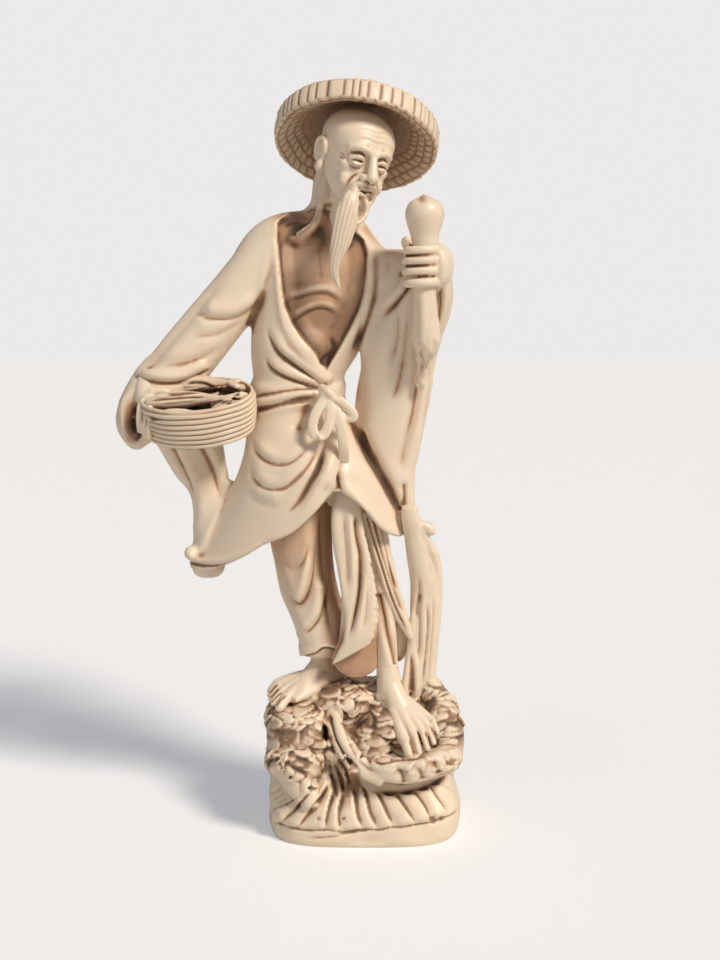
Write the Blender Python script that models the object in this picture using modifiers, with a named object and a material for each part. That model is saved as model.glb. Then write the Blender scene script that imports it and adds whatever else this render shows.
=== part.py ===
"""Resin figurine of an old fisherman on a rock, as a kit of castings that peg together.

Metres, +Z up, the figure faces -Y, and the origin is the middle of the base's flat underside.
The figure's own right side is at -X. Heights are chained: rock top, waist, shoulders, neck, head and
hat each stand on the one below. The castings are lofts through a few sections, fused and thinned,
and every casting is let into its neighbour with a glue gap all round.
"""

import math

import bmesh
import bpy
import numpy as np
from mathutils import Matrix, Vector

MM = 0.001

# Fits between castings
GLUE_GAP = 0.3 * MM
PEG_LENGTH = 6.0 * MM
PEG_RADIUS = 2.6 * MM
PIN_RADIUS = 1.0 * MM
PIN_LENGTH = 26.0 * MM
PIN_SINK = 12.0 * MM

# Rock base
BASE_WIDTH = 66.5 * MM
BASE_DEPTH = 54.0 * MM
BASE_HEIGHT = 45.0 * MM
PLINTH_HEIGHT = 10.0 * MM

# Figure, from the rock up
LEG_LENGTH = 110.0 * MM
TORSO_LENGTH = 51.0 * MM
NECK_RISE = 9.0 * MM
NECK_RADIUS = 7.6 * MM
SKIRT_DROP = 63.0 * MM
SKIRT_WALL = 2.6 * MM
SKIRT_RECESS = 9.0 * MM
RIGHT_ARM_REACH = 68.5 * MM
DRAPE_DROP = 58.0 * MM
SHOULDER_RADIUS = 8.5 * MM
LEG_SEAT = 26.0 * MM
LEFT_SLEEVE_DROP = 93.0 * MM

# Head and hat
HEAD_WIDTH = 25.0 * MM
HEAD_DEPTH = 30.0 * MM
HEAD_HEIGHT = 35.0 * MM
HEAD_YAW, HEAD_PITCH, HEAD_ROLL = 28.0, 8.0, 13.0
BEARD_LENGTH = 27.0 * MM
HAT_RADIUS = 28.6 * MM
HAT_EDGE = 6.4 * MM
HAT_RISE = 17.0 * MM
HAT_WALL = 3.4 * MM
HAT_TILT, HAT_ROLL = 29.0, 6.0

# Basket and catch
BASKET_LENGTH = 39.5 * MM
BASKET_BREADTH = 31.0 * MM
BASKET_HEIGHT = 13.0 * MM
BASKET_COILS = 7
BASKET_SIDES = 22
BASKET_WALL = 2.0 * MM
BASKET_FLOOR = 3.0 * MM
BASKET_TILT, BASKET_ROLL = 18.0, -4.0
FISH_LENGTH = 33.0 * MM
FISH_GIRTH = 3.2 * MM

# Staff, hands and sash
STAFF_RADIUS = 3.6 * MM
STAFF_KNOB_RADIUS = 6.3 * MM
STAFF_TOP_LENGTH = 62.0 * MM
STAFF_SEAT = 3.0 * MM
FINGER_RADIUS = 1.6 * MM
FINGER_PITCH = 3.6 * MM
BOW_LOOP_LENGTH = 13.5 * MM
BOW_STRAP_RADIUS = 1.3 * MM

# Where the chain of heights and the joints lie
WAIST_Z = BASE_HEIGHT + LEG_LENGTH
SHOULDER_Z = WAIST_Z + TORSO_LENGTH
NECK_Z = SHOULDER_Z + NECK_RISE
LEG_TOP_Z = WAIST_Z - SKIRT_DROP + LEG_SEAT
SLEEVE_TIP_Z = SHOULDER_Z - LEFT_SLEEVE_DROP
RIGHT_SHOULDER = Vector((-33.0 * MM, 0.0, SHOULDER_Z - 5.0 * MM))
LEFT_SHOULDER = Vector((8.0 * MM, 0.0, SHOULDER_Z - 10.0 * MM))
ARM_DIRECTION = Vector((-43.0, -6.0, -53.0)).normalized()
RIGHT_WRIST = RIGHT_SHOULDER + RIGHT_ARM_REACH * ARM_DIRECTION
BASKET_CENTRE = RIGHT_WRIST + Vector((19.8, -10.0, 5.9)) * MM
NECK = Vector((-7.5 * MM, -1.0 * MM, NECK_Z))
HEAD_CENTRE = NECK + Vector((4.5 * MM, -8.5 * MM, 0.5 * HEAD_HEIGHT + 1.5 * MM))
HAT_CENTRE = HEAD_CENTRE + Vector((0.0, 0.27 * HEAD_DEPTH, 0.12 * HEAD_HEIGHT))
STAFF_AXIS = Vector((19.6 * MM, -24.0 * MM, SHOULDER_Z + 14.0 * MM))
FIST = STAFF_AXIS - Vector((0.0, 0.0, 22.5 * MM))
RIGHT_ANKLE = Vector((-14.5 * MM, 1.5 * MM, BASE_HEIGHT + 9.0 * MM))
LEFT_ANKLE = Vector((8.6 * MM, -7.5 * MM, BASE_HEIGHT + 5.0 * MM))

# Finish
IVORY = (0.80, 0.66, 0.47, 1.0)
IVORY_DARK = (0.62, 0.47, 0.32, 1.0)
STEEL = (0.55, 0.55, 0.57, 1.0)

SECTION_SIDES = 32
VOXEL = 0.9 * MM


def clear_scene():
    for obj in list(bpy.data.objects):
        bpy.data.objects.remove(obj)


def collection(name, hidden=False):
    made = bpy.data.collections.new(name)
    bpy.context.scene.collection.children.link(made)
    made.hide_render = hidden
    return made


def material(name, colour, roughness, metallic=0.0):
    made = bpy.data.materials.new(name)
    made.use_nodes = True
    shader = made.node_tree.nodes["Principled BSDF"]
    shader.inputs["Base Color"].default_value = colour
    shader.inputs["Roughness"].default_value = roughness
    shader.inputs["Metallic"].default_value = metallic
    return made


# Sections and the skins through them


def power_wave(wave, power):
    """A sine or cosine pushed towards a square section as power rises above 2."""
    return np.sign(wave) * np.abs(wave) ** (2.0 / power)


def oval(centre, across, forward, half_width, half_depth, power=2.0, around=SECTION_SIDES):
    """One closed section: it starts at the front and goes round by the side that across points to."""
    angle = np.linspace(0.0, 2.0 * math.pi, around, endpoint=False)
    side = power_wave(np.sin(angle), power)[:, None] * np.array(across)
    front = power_wave(np.cos(angle), power)[:, None] * np.array(forward)
    return np.array(centre) + half_width * side + half_depth * front


def slices(rows, low, span, power=2.0):
    """Level sections from rows of (share of the height, left, right, front, back), sides in mm."""
    rings = []
    for share, left, right, front, back in rows:
        centre = ((left + right) / 2 * MM, (front + back) / 2 * MM, low + share * span)
        half_width, half_depth = (right - left) / 2 * MM, (back - front) / 2 * MM
        rings.append(oval(centre, (1, 0, 0), (0, -1, 0), half_width, half_depth, power))
    return rings


def along(path, halves, side, power=2.0):
    """Sections square to a path. The first half size lies along side, the second square to it."""
    path = np.array(path, float)
    tangents = np.gradient(path, axis=0)
    rings = []
    for point, tangent, (half_side, half_other) in zip(path, tangents, halves):
        tangent = tangent / np.linalg.norm(tangent)
        first = np.array(side, float) - np.dot(side, tangent) * tangent
        first /= np.linalg.norm(first)
        rings.append(oval(point, first, np.cross(tangent, first), half_side, half_other, power))
    return rings


def between(rings, steps):
    """More sections on a smooth curve through the given ones."""
    rings = np.array(rings)
    padded = np.concatenate([2 * rings[:1] - rings[1:2], rings, 2 * rings[-1:] - rings[-2:-1]])
    made = []
    for a, b, c, d in zip(padded[:-3], padded[1:-2], padded[2:-1], padded[3:]):
        for step in range(steps):
            t = step / steps
            made.append(
                0.5 * (2 * b + (c - a) * t + (2 * a - 5 * b + 4 * c - d) * t**2
                       + (3 * b - a - 3 * c + d) * t**3)
            )
    return made + [rings[-1]]


def closed_curve(stops):
    """A ring through (share of the way round, x, y, z) stops, in mm, eased between them."""
    shares = np.array([stop[0] for stop in stops])
    points = np.array([stop[1:] for stop in stops]) * MM
    shares = np.concatenate([shares - 1.0, shares, shares + 1.0])
    points = np.concatenate([points, points, points])
    wanted = np.arange(SECTION_SIDES) / SECTION_SIDES
    return np.stack([np.interp(wanted, shares, points[:, axis]) for axis in range(3)], axis=1)


def skin(form, rings):
    """Adds one closed skin through the rings, capped at both ends, to a bmesh."""
    made = bmesh.new()
    loops = [[made.verts.new(point) for point in ring] for ring in rings]
    for lower, upper in zip(loops[:-1], loops[1:]):
        for i in range(len(lower)):
            j = (i + 1) % len(lower)
            made.faces.new((lower[i], lower[j], upper[j], upper[i]))
    for loop in (loops[0], loops[-1]):
        hub = made.verts.new(sum((v.co for v in loop), Vector()) / len(loop))
        for i in range(len(loop)):
            made.faces.new((loop[i], loop[(i + 1) % len(loop)], hub))
    bmesh.ops.recalc_face_normals(made, faces=made.faces)
    add_to(form, made)


def add_to(form, made):
    """Moves a finished bmesh into the form that is being gathered."""
    mesh = bpy.data.meshes.new("piece")
    made.to_mesh(mesh)
    made.free()
    form.from_mesh(mesh)
    bpy.data.meshes.remove(mesh)


def ball(form, centre, radii, turn=None):
    """Adds an ellipsoid."""
    made = bmesh.new()
    bmesh.ops.create_uvsphere(made, u_segments=20, v_segments=12, radius=1.0)
    matrix = Matrix.Translation(centre) @ (turn or Matrix.Identity(4)) @ Matrix.Diagonal((*radii, 1.0))
    bmesh.ops.transform(made, matrix=matrix, verts=made.verts)
    add_to(form, made)


def finger(form, points, radius, tip=0.8):
    """Adds a round finger or toe along its joints, tapering to its rounded tip."""
    points = [Vector(point) for point in points]
    widths = np.linspace(1.0, tip, len(points)) * radius
    skin(form, between(along(points, [(w, w) for w in widths], (0.3, 0.2, 1.0)), 3))
    ball(form, points[0], (radius,) * 3)
    ball(form, points[-1], (widths[-1],) * 3)


# Solids from gathered forms


def solid(name, form, where, finish, triangles, voxel=VOXEL, smooth=2):
    """Fuses a gathered form into one skin and thins it to about so many triangles."""
    mesh = bpy.data.meshes.new(name)
    form.to_mesh(mesh)
    form.free()
    obj = bpy.data.objects.new(name, mesh)
    where.objects.link(obj)
    remesh = obj.modifiers.new("fuse", "REMESH")
    remesh.mode = "VOXEL"
    remesh.voxel_size = voxel
    if smooth:
        soften = obj.modifiers.new("soften", "SMOOTH")
        soften.iterations = smooth
    settle(obj)
    thin = obj.modifiers.new("thin", "DECIMATE")
    thin.ratio = min(1.0, triangles / (2.0 * len(obj.data.polygons)))
    settle(obj)
    obj.data.materials.append(finish)
    return obj


def settle(obj):
    """Applies the object's modifiers."""
    graph = bpy.context.evaluated_depsgraph_get()
    graph.update()
    mesh = bpy.data.meshes.new_from_object(obj.evaluated_get(graph))
    obj.modifiers.clear()
    old = obj.data
    obj.data = mesh
    bpy.data.meshes.remove(old)


def largest_piece(obj):
    """Drops the crumbs that a cut leaves loose."""
    made = bmesh.new()
    made.from_mesh(obj.data)
    left = set(made.verts)
    groups = []
    while left:
        stack, group = [left.pop()], []
        while stack:
            vert = stack.pop()
            group.append(vert)
            for edge in vert.link_edges:
                other = edge.other_vert(vert)
                if other in left:
                    left.remove(other)
                    stack.append(other)
        groups.append(group)
    groups.sort(key=len)
    crumbs = [vert for group in groups[:-1] for vert in group]
    bmesh.ops.delete(made, geom=crumbs, context="VERTS")
    made.to_mesh(obj.data)
    made.free()


def cut(obj, tool):
    """Takes the tool's shape out of the object."""
    boolean = obj.modifiers.new("cut", "BOOLEAN")
    boolean.operation = "DIFFERENCE"
    boolean.object = tool
    boolean.use_self = True
    settle(obj)
    largest_piece(obj)


def mould(obj):
    """A wire copy of a whole piece, grown by the glue gap, that cuts the seat for it in its neighbours."""
    grown = bpy.data.objects.new(obj.name + "_mould", obj.data.copy())
    bpy.data.collections["cutters"].objects.link(grown)
    grow = grown.modifiers.new("grow", "DISPLACE")
    grow.mid_level = 0.0
    grow.strength = GLUE_GAP
    settle(grown)
    grown.hide_render = True
    grown.display_type = "WIRE"


def seat(obj, *neighbours):
    """Lets each neighbour into the object, with the glue gap all round it."""
    for neighbour in neighbours:
        cut(obj, bpy.data.objects[neighbour.name + "_mould"])


def rod(name, where, foot, top, radius, finish=None):
    """A round bar between two points, as a part or a cutter."""
    foot, top = Vector(foot), Vector(top)
    made = bmesh.new()
    bmesh.ops.create_cone(
        made, cap_ends=True, segments=16, radius1=radius, radius2=radius, depth=(top - foot).length
    )
    turn = (top - foot).to_track_quat("Z", "Y").to_matrix().to_4x4()
    bmesh.ops.transform(made, matrix=Matrix.Translation((foot + top) / 2) @ turn, verts=made.verts)
    mesh = bpy.data.meshes.new(name)
    made.to_mesh(mesh)
    made.free()
    obj = bpy.data.objects.new(name, mesh)
    where.objects.link(obj)
    if finish:
        obj.data.materials.append(finish)
    return obj


# Base and legs


def make_rock_base(where, finish):
    """A flat plinth under a split boulder: a high left column, a low right shelf and a fan of foam."""
    form = bmesh.new()
    half_width, half_depth = BASE_WIDTH / 2, BASE_DEPTH / 2
    outline = [
        (-0.10, 0.97, 0.97, 0.97, 0.94), (0.05, 1.0, 1.0, 1.0, 0.97), (0.22, 1.0, 0.99, 1.0, 0.97),
        (0.30, 0.98, 0.95, 0.90, 0.95), (0.53, 0.97, 0.90, 0.74, 0.92), (0.70, 0.99, 0.92, 0.66, 0.88),
        (0.82, 1.0, 0.88, 0.58, 0.82), (0.93, 0.96, 0.78, 0.50, 0.74), (1.02, 0.84, 0.70, 0.40, 0.60),
        (1.09, 0.60, 0.56, 0.24, 0.44), (1.13, 0.42, 0.40, 0.10, 0.30),
    ]
    rings = []
    for share, left, right, front, back in outline:
        centre = ((right - left) / 2 * half_width, (back - front) / 2 * half_depth, share * BASE_HEIGHT)
        wide, deep = (left + right) / 2 * half_width, (front + back) / 2 * half_depth
        rings.append(oval(centre, (1, 0, 0), (0, -1, 0), wide, deep, 3.2))
    skin(form, between(rings, 2))
    lobes = [
        ((-0.66, -0.44, 0.80), (12.0, 13.0, 8.5)), ((-0.70, -0.64, 0.60), (10.0, 10.0, 8.0)),
        ((-0.66, -0.84, 0.44), (7.0, 6.5, 6.0)), ((0.42, -0.60, 0.55), (19.0, 12.0, 7.0)),
        ((0.74, -0.46, 0.60), (9.5, 11.0, 8.0)), ((0.28, -0.30, 0.86), (11.0, 9.0, 7.0)),
        ((-0.22, -0.10, 1.02), (12.0, 12.0, 7.0)), ((0.58, 0.00, 0.92), (9.0, 10.0, 7.5)),
        ((-0.10, -0.62, 0.62), (7.0, 7.0, 8.0)),
    ]
    for (x, y, z), radii in lobes:
        centre = Vector((x * half_width, y * half_depth, z * BASE_HEIGHT))
        ball(form, centre, [radius * MM for radius in radii])
    foam_heart = Vector((-0.20 * half_width, -0.74 * half_depth, 0.37 * BASE_HEIGHT))
    for step in range(9):
        x = (step / 4.0 - 1.0) * 0.80 * half_width
        reach = Vector((x, (-0.97 + 0.10 * abs(step / 4.0 - 1.0)) * half_depth, PLINTH_HEIGHT))
        middle = foam_heart.lerp(reach, 0.5) - Vector((0.0, 0.6 * MM, 0.0))
        finger(form, [foam_heart, middle, reach], 2.0 * MM, 1.1)
    rock = solid("rock_base", form, where, finish, 1150)
    slab = bmesh.new()
    bmesh.ops.create_cube(slab, size=2 * BASE_WIDTH)
    bmesh.ops.translate(slab, vec=(0, 0, -BASE_WIDTH), verts=slab.verts)
    cutter(rock, "under_base", slab)
    cave = bmesh.new()
    lean = Matrix.Rotation(math.radians(-20), 4, "Y")
    ball(cave, foam_heart + Vector((0.5, -5.0, 10.0)) * MM, (3.6 * MM, 7.0 * MM, 9.5 * MM), lean)
    cutter(rock, "cave", cave)
    return rock


def make_foot(form, ankle, heel, ball_of_foot, toe_side, shin_top):
    """Shin, ankle, sole and five toes. toe_side points from the big toe to the little one."""
    stride = (ball_of_foot - heel).normalized()
    path = [heel, heel.lerp(ball_of_foot, 0.4), heel.lerp(ball_of_foot, 0.75), ball_of_foot]
    halves = [(3.6, 3.6), (5.0, 4.6), (6.0, 3.6), (6.6, 2.6)]
    halves = [(wide * MM, high * MM) for wide, high in halves]
    skin(form, between(along(path, halves, toe_side), 3))
    ball(form, heel, (3.8 * MM,) * 3)
    path = [ankle - Vector((0, 0, 3.0 * MM)), ankle, ankle.lerp(shin_top, 0.5), shin_top]
    halves = [(4.8, 5.2), (4.6, 5.0), (4.2, 4.6), (5.0, 5.4)]
    halves = [(wide * MM, deep * MM) for wide, deep in halves]
    skin(form, between(along(path, halves, (1, 0, 0)), 3))
    side = Vector(toe_side).normalized()
    for toe in range(5):
        root = ball_of_foot + (toe - 2.0) * 2.75 * MM * side - 1.2 * MM * stride
        length = (5.6 - 0.55 * toe) * MM
        radius = (2.1 if toe == 0 else 1.55) * MM
        tip = root + length * stride + Vector((0, 0, -0.5 * MM))
        finger(form, [root, root.lerp(tip, 0.6) + Vector((0, 0, 0.5 * MM)), tip], radius, 0.85)


def make_right_leg(where, finish):
    """The trailing leg: a baggy trouser gathered above the bare foot."""
    form = bmesh.new()
    trouser = [
        (0.20, -22.0, -8.5, -7.0, 8.0), (0.225, -23.6, -6.6, -8.5, 9.5), (0.30, -23.0, -6.0, -9.0, 10.0),
        (0.41, -26.0, -6.2, -10.0, 11.0), (0.53, -29.5, -7.4, -11.0, 11.5),
        (0.68, -31.5, -9.4, -12.0, 12.0), (0.83, -33.5, -10.6, -12.0, 12.0),
        (1.0, -33.0, -11.5, -10.5, 11.0),
    ]
    skin(form, between(slices(trouser, BASE_HEIGHT, LEG_TOP_Z - BASE_HEIGHT, 2.3), 3))
    heel = RIGHT_ANKLE + Vector((5.0, 0.5, -1.0)) * MM
    front = RIGHT_ANKLE + Vector((-12.2, -11.5, -6.6)) * MM
    shin = RIGHT_ANKLE + Vector((0.0, 0.5, 12.0)) * MM
    make_foot(form, RIGHT_ANKLE, heel, front, (-0.66, 0.72, -0.1), shin)
    return solid("right_leg", form, where, finish, 560)


def make_left_leg(where, finish):
    """The leading leg: a bare shin in front of a trouser that fans out behind it."""
    form = bmesh.new()
    trouser = [
        (0.18, 1.0, 13.0, -4.0, 6.0), (0.225, 0.0, 15.0, -5.0, 8.0), (0.32, -1.0, 17.6, -5.0, 9.0),
        (0.44, -2.0, 14.2, -6.0, 9.0), (0.54, -3.0, 11.4, -7.5, 8.5), (0.68, -5.0, 9.6, -8.5, 8.0),
        (0.81, -7.0, 8.0, -8.5, 8.0), (1.0, -8.0, 8.0, -8.0, 8.0),
    ]
    skin(form, between(slices(trouser, BASE_HEIGHT, LEG_TOP_Z - BASE_HEIGHT, 2.3), 3))
    heel = LEFT_ANKLE + Vector((-2.0, 2.5, -3.0)) * MM
    front = LEFT_ANKLE + Vector((11.2, -11.5, -14.6)) * MM
    shin = LEFT_ANKLE + Vector((-3.4, 4.5, 44.0)) * MM
    make_foot(form, LEFT_ANKLE, heel, front, (0.80, 0.60, 0.12), shin)
    return solid("left_leg", form, where, finish, 660)


def make_wrap_flap(where, finish):
    """The long front wrap that hangs from under the robe to the shin."""
    form = bmesh.new()
    cloth = [
        (0.15, -4.0, 3.0, -15.5, -6.5), (0.19, -10.0, 4.0, -18.0, -7.0), (0.24, -9.6, 4.6, -18.5, -7.5),
        (0.30, -7.8, 5.0, -18.5, -7.5), (0.44, -6.0, 5.2, -18.0, -7.5), (0.57, -7.0, 4.8, -18.0, -7.5),
        (0.69, -9.0, 4.0, -18.0, -7.0), (0.84, -11.2, 3.6, -17.5, -6.0), (1.0, -10.0, 6.0, -16.0, -5.0),
    ]
    drop = LEG_TOP_Z - BASE_HEIGHT
    skin(form, between(slices(cloth, BASE_HEIGHT, drop, 2.4), 3))
    fall = ((0.8, -17.0, 0.93), (0.7, -18.2, 0.63), (0.8, -18.4, 0.39), (1.2, -18.0, 0.23))
    for x in (-6.0, -1.0, 3.2):
        ridge = [Vector((x * spread * MM, y * MM, BASE_HEIGHT + share * drop)) for spread, y, share in fall]
        finger(form, ridge, 1.7 * MM, 1.0)
    return solid("wrap_flap", form, where, finish, 400)


# Robe and sash


def make_robe(where, finish):
    """Torso and flared skirt in one casting, the skirt hollowed a little way up from its hem."""
    form = bmesh.new()
    torso = [
        (-0.10, -38.5, -7.0, -12.5, 12.0), (0.07, -38.3, -7.3, -12.5, 12.0),
        (0.24, -39.0, -2.4, -13.5, 12.5), (0.41, -38.7, 2.0, -14.0, 13.0),
        (0.61, -37.2, 6.5, -14.5, 13.5), (0.80, -35.5, 9.0, -13.5, 12.5),
        (0.92, -34.5, 8.0, -11.5, 11.0), (1.01, -32.5, 4.6, -9.5, 9.5),
        (1.07, -28.0, 2.4, -8.5, 8.5), (1.13, -22.0, 0.2, -7.5, 8.0), (1.17, -17.0, -1.5, -6.5, 7.0),
    ]
    skin(form, between(slices(torso, WAIST_Z, TORSO_LENGTH, 2.3), 3))
    skin(form, skirt_rings())
    for lapel in lapel_paths():
        finger(form, lapel, 2.3 * MM, 0.9)
    sash = [(-0.02, -39.6, -6.0, -14.0, 13.4), (0.06, -39.6, -6.4, -14.0, 13.4)]
    skin(form, slices(sash, WAIST_Z - 5.0 * MM, TORSO_LENGTH, 2.3))
    robe = solid("robe", form, where, finish, 1500, smooth=3)
    hollow = bmesh.new()
    chest = WAIST_Z + 0.66 * TORSO_LENGTH
    ball(hollow, Vector((-9.5 * MM, -19.5 * MM, chest)), (12.0 * MM, 8.5 * MM, 0.33 * TORSO_LENGTH))
    cutter(robe, "open_chest", hollow)
    return robe


def skirt_rings():
    """From inside the waist down to the hem, and back up inside the wall to the roof of the hollow."""
    hem = [
        (0.0, -9.5, -20.0, 0.51), (0.06, 0.3, -21.0, 0.60), (0.12, 7.1, -17.0, 0.73),
        (0.19, 13.6, -9.0, 0.79), (0.27, 15.8, 2.0, 0.76), (0.38, 8.0, 15.0, 0.70),
        (0.5, -16.0, 20.0, 0.80), (0.62, -42.0, 16.0, 0.92), (0.72, -61.5, 3.0, 0.96),
        (0.765, -58.0, -5.0, 1.0), (0.82, -46.0, -13.0, 0.92), (0.87, -34.6, -18.0, 0.81),
        (0.915, -24.9, -21.0, 0.74), (0.957, -15.5, -21.5, 0.61),
    ]
    hem = closed_curve([(share, x, y, 0.0) for share, x, y, drop in hem]) + drops(hem)
    thighs = oval((-18.0 * MM, -3.0 * MM, WAIST_Z - 27.0 * MM), (1, 0, 0), (0, -1, 0), 25.5 * MM, 18.0 * MM)
    hips = oval((-22.0 * MM, -1.0 * MM, WAIST_Z - 13.0 * MM), (1, 0, 0), (0, -1, 0), 18.5 * MM, 15.0 * MM)
    waist = oval((-22.5 * MM, 0.0, WAIST_Z), (1, 0, 0), (0, -1, 0), 14.5 * MM, 11.5 * MM)
    rings = between([waist, hips, thighs, hem], 4)
    middle = hem.mean(axis=0)
    inward = middle - hem
    inward[:, 2] = 0.0
    inward /= np.linalg.norm(inward, axis=1)[:, None]
    lip = hem + SKIRT_WALL * inward
    upper = rings[-3] + 1.3 * SKIRT_WALL * inward
    slope = (upper - lip) / (upper - lip)[:, 2:].clip(1.0 * MM)
    roof = lip + SKIRT_RECESS * slope
    return rings + [lip, roof]


def drops(hem):
    """The heights of the hem all round, as shares of the skirt's drop below the waist."""
    shares = np.array([stop[0] for stop in hem])
    falls = np.array([stop[3] for stop in hem])
    shares = np.concatenate([shares - 1.0, shares, shares + 1.0])
    wanted = np.arange(SECTION_SIDES) / SECTION_SIDES
    heights = WAIST_Z - SKIRT_DROP * np.interp(wanted, shares, np.tile(falls, 3))
    return np.stack([np.zeros(SECTION_SIDES), np.zeros(SECTION_SIDES), heights], axis=1)


def lapel_paths():
    """The two edges of the robe, from the back of the neck over the shoulders to the knot."""
    right = [(-20.0, -1.0, 1.10), (-25.5, -8.0, 0.94), (-27.5, -12.4, 0.74), (-25.0, -13.6, 0.52),
             (-19.0, -14.0, 0.30), (-13.0, -13.6, 0.10), (-10.6, -13.4, 0.02)]
    left = [(-2.2, -1.0, 1.12), (1.4, -7.0, 1.0), (2.6, -10.6, 0.88), (1.6, -12.4, 0.70),
            (-0.8, -12.8, 0.50), (-4.4, -12.8, 0.27), (-9.0, -13.0, 0.07), (-11.6, -13.4, 0.0)]
    return [
        [Vector((x * MM, y * MM, WAIST_Z + share * TORSO_LENGTH)) for x, y, share in path]
        for path in (right, left)
    ]


def make_sash_bow(where, finish):
    """The knot, its two loops and the tails that hang over the skirt."""
    form = bmesh.new()
    knot = Vector((-11.6 * MM, -15.0 * MM, WAIST_Z - 2.5 * MM))
    ball(form, knot, (3.2 * MM, 2.8 * MM, 3.4 * MM))
    for across, down, deep in ((-0.10, -1.0, -0.36), (0.80, -0.56, -0.24)):
        run = BOW_LOOP_LENGTH * Vector((across, deep, down)).normalized()
        open_side = 3.0 * MM * Vector((down, 0.0, -across)).normalized()
        loop = [knot, knot + 0.45 * run + open_side, knot + 0.85 * run + 0.9 * open_side, knot + run,
                knot + 0.85 * run - 0.9 * open_side, knot + 0.45 * run - open_side, knot]
        finger(form, loop, BOW_STRAP_RADIUS, 1.0)
    tail = [knot, knot + Vector((2.6, -3.6, -8.0)) * MM, knot + Vector((3.6, -7.0, -17.0)) * MM]
    finger(form, tail, 1.3 * BOW_STRAP_RADIUS, 0.9)
    return solid("sash_bow", form, where, finish, 420, voxel=0.6 * MM, smooth=1)


# Arms, hands, basket and staff


def make_right_sleeve(where, finish):
    """The lowered arm: a sleeve out to the basket, with its loose end hanging behind and below."""
    form = bmesh.new()
    reach = RIGHT_WRIST - RIGHT_SHOULDER
    stops = [(-0.05, 0.0, 9.0, 9.5), (0.17, 0.6, 9.4, 9.5), (0.42, 1.2, 9.6, 9.5), (0.68, 1.0, 9.9, 9.5),
             (0.88, 0.0, 9.4, 9.3), (1.02, -1.5, 7.6, 8.2)]
    path = [RIGHT_SHOULDER + share * reach + Vector((bow, 0, bow)) * MM for share, bow, _, _ in stops]
    halves = [(wide * MM, deep * MM) for _, _, wide, deep in stops]
    skin(form, between(along(path, halves, (1, 0, -1), 2.2), 3))
    cuff = [RIGHT_WRIST + Vector(point) * MM
            for point in ((2.0, 1.0, 4.0), (-1.5, -1.0, -3.0), (0.5, -1.0, -10.5))]
    halves = [(7.0 * MM, 9.0 * MM), (7.6 * MM, 9.0 * MM), (4.5 * MM, 6.0 * MM)]
    skin(form, between(along(cuff, halves, (1, 0, 0)), 3))
    drape = [(-0.06, -72.0, -56.0, -11.0, 2.0), (0.10, -74.0, -50.5, -9.0, 4.6),
             (0.22, -73.5, -48.0, -6.5, 6.4), (0.40, -69.5, -46.5, -5.0, 7.4),
             (0.55, -66.0, -45.6, -4.5, 7.8), (0.72, -62.6, -46.4, -4.5, 8.0),
             (0.88, -61.6, -48.4, -4.5, 8.0), (1.0, -61.2, -50.0, -3.5, 7.5)]
    skin(form, between(slices(drape, RIGHT_WRIST[2], -DRAPE_DROP, 2.2), 3))
    ball(form, RIGHT_SHOULDER - (4.0 * MM) * reach.normalized(), (SHOULDER_RADIUS,) * 3)
    peg_end = RIGHT_SHOULDER + (SHOULDER_RADIUS + PEG_LENGTH) * Vector((0.97, 0.0, -0.22))
    finger(form, [RIGHT_SHOULDER, RIGHT_SHOULDER.lerp(peg_end, 0.5), peg_end], PEG_RADIUS, 1.0)
    sleeve = solid("right_sleeve", form, where, finish, 760)
    mouth = bmesh.new()
    lean = Matrix.Rotation(math.radians(12), 4, "Y")
    ball(mouth, RIGHT_WRIST + Vector((-0.6, -9.5, 0.0)) * MM, (5.0 * MM, 8.0 * MM, 9.0 * MM), lean)
    cutter(sleeve, "right_cuff_mouth", mouth)
    return sleeve


def make_right_hand(where, finish):
    """Wrist, palm and the fingers that hold the basket's end from below, thumb on its rim."""
    form = bmesh.new()
    wrist = RIGHT_WRIST + Vector((1.5, -2.0, 8.0)) * MM
    palm = basket_point(-0.97, -0.05, 0.95)
    halves = [(4.6 * MM, 3.6 * MM), (4.8 * MM, 3.4 * MM), (5.0 * MM, 3.0 * MM)]
    skin(form, between(along([wrist, wrist.lerp(palm, 0.5), palm], halves, (0, 1, 0)), 3))
    ball(form, palm, (3.2 * MM, 6.5 * MM, 4.0 * MM))
    for place in range(4):
        aside = (place - 2.4) * FINGER_PITCH / (BASKET_BREADTH / 2)
        out = -math.sqrt(1.0 - aside * aside) - 1.1 * FINGER_RADIUS / (BASKET_LENGTH / 2)
        joints = [basket_point(out, aside, 0.95), basket_point(out, aside, 0.55),
                  basket_point(0.97 * out, aside, 0.15)]
        finger(form, [palm.lerp(joints[0], 0.5)] + joints, FINGER_RADIUS, 0.85)
    thumb = [palm, basket_point(-0.86, -0.25, 1.22), basket_point(-0.66, -0.34, 1.18)]
    finger(form, thumb, 1.2 * FINGER_RADIUS, 0.8)
    return solid("right_hand", form, where, finish, 340, voxel=0.6 * MM, smooth=1)


def basket_matrix():
    tilt = Matrix.Rotation(math.radians(BASKET_TILT), 4, "X")
    roll = Matrix.Rotation(math.radians(BASKET_ROLL), 4, "Y")
    return Matrix.Translation(BASKET_CENTRE) @ roll @ tilt


def basket_point(across, forward, up):
    """A point by shares of the basket's half length, half breadth and height."""
    local = Vector((across * BASKET_LENGTH / 2, forward * BASKET_BREADTH / 2, (up - 1.0) * BASKET_HEIGHT))
    return basket_matrix() @ local


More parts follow.
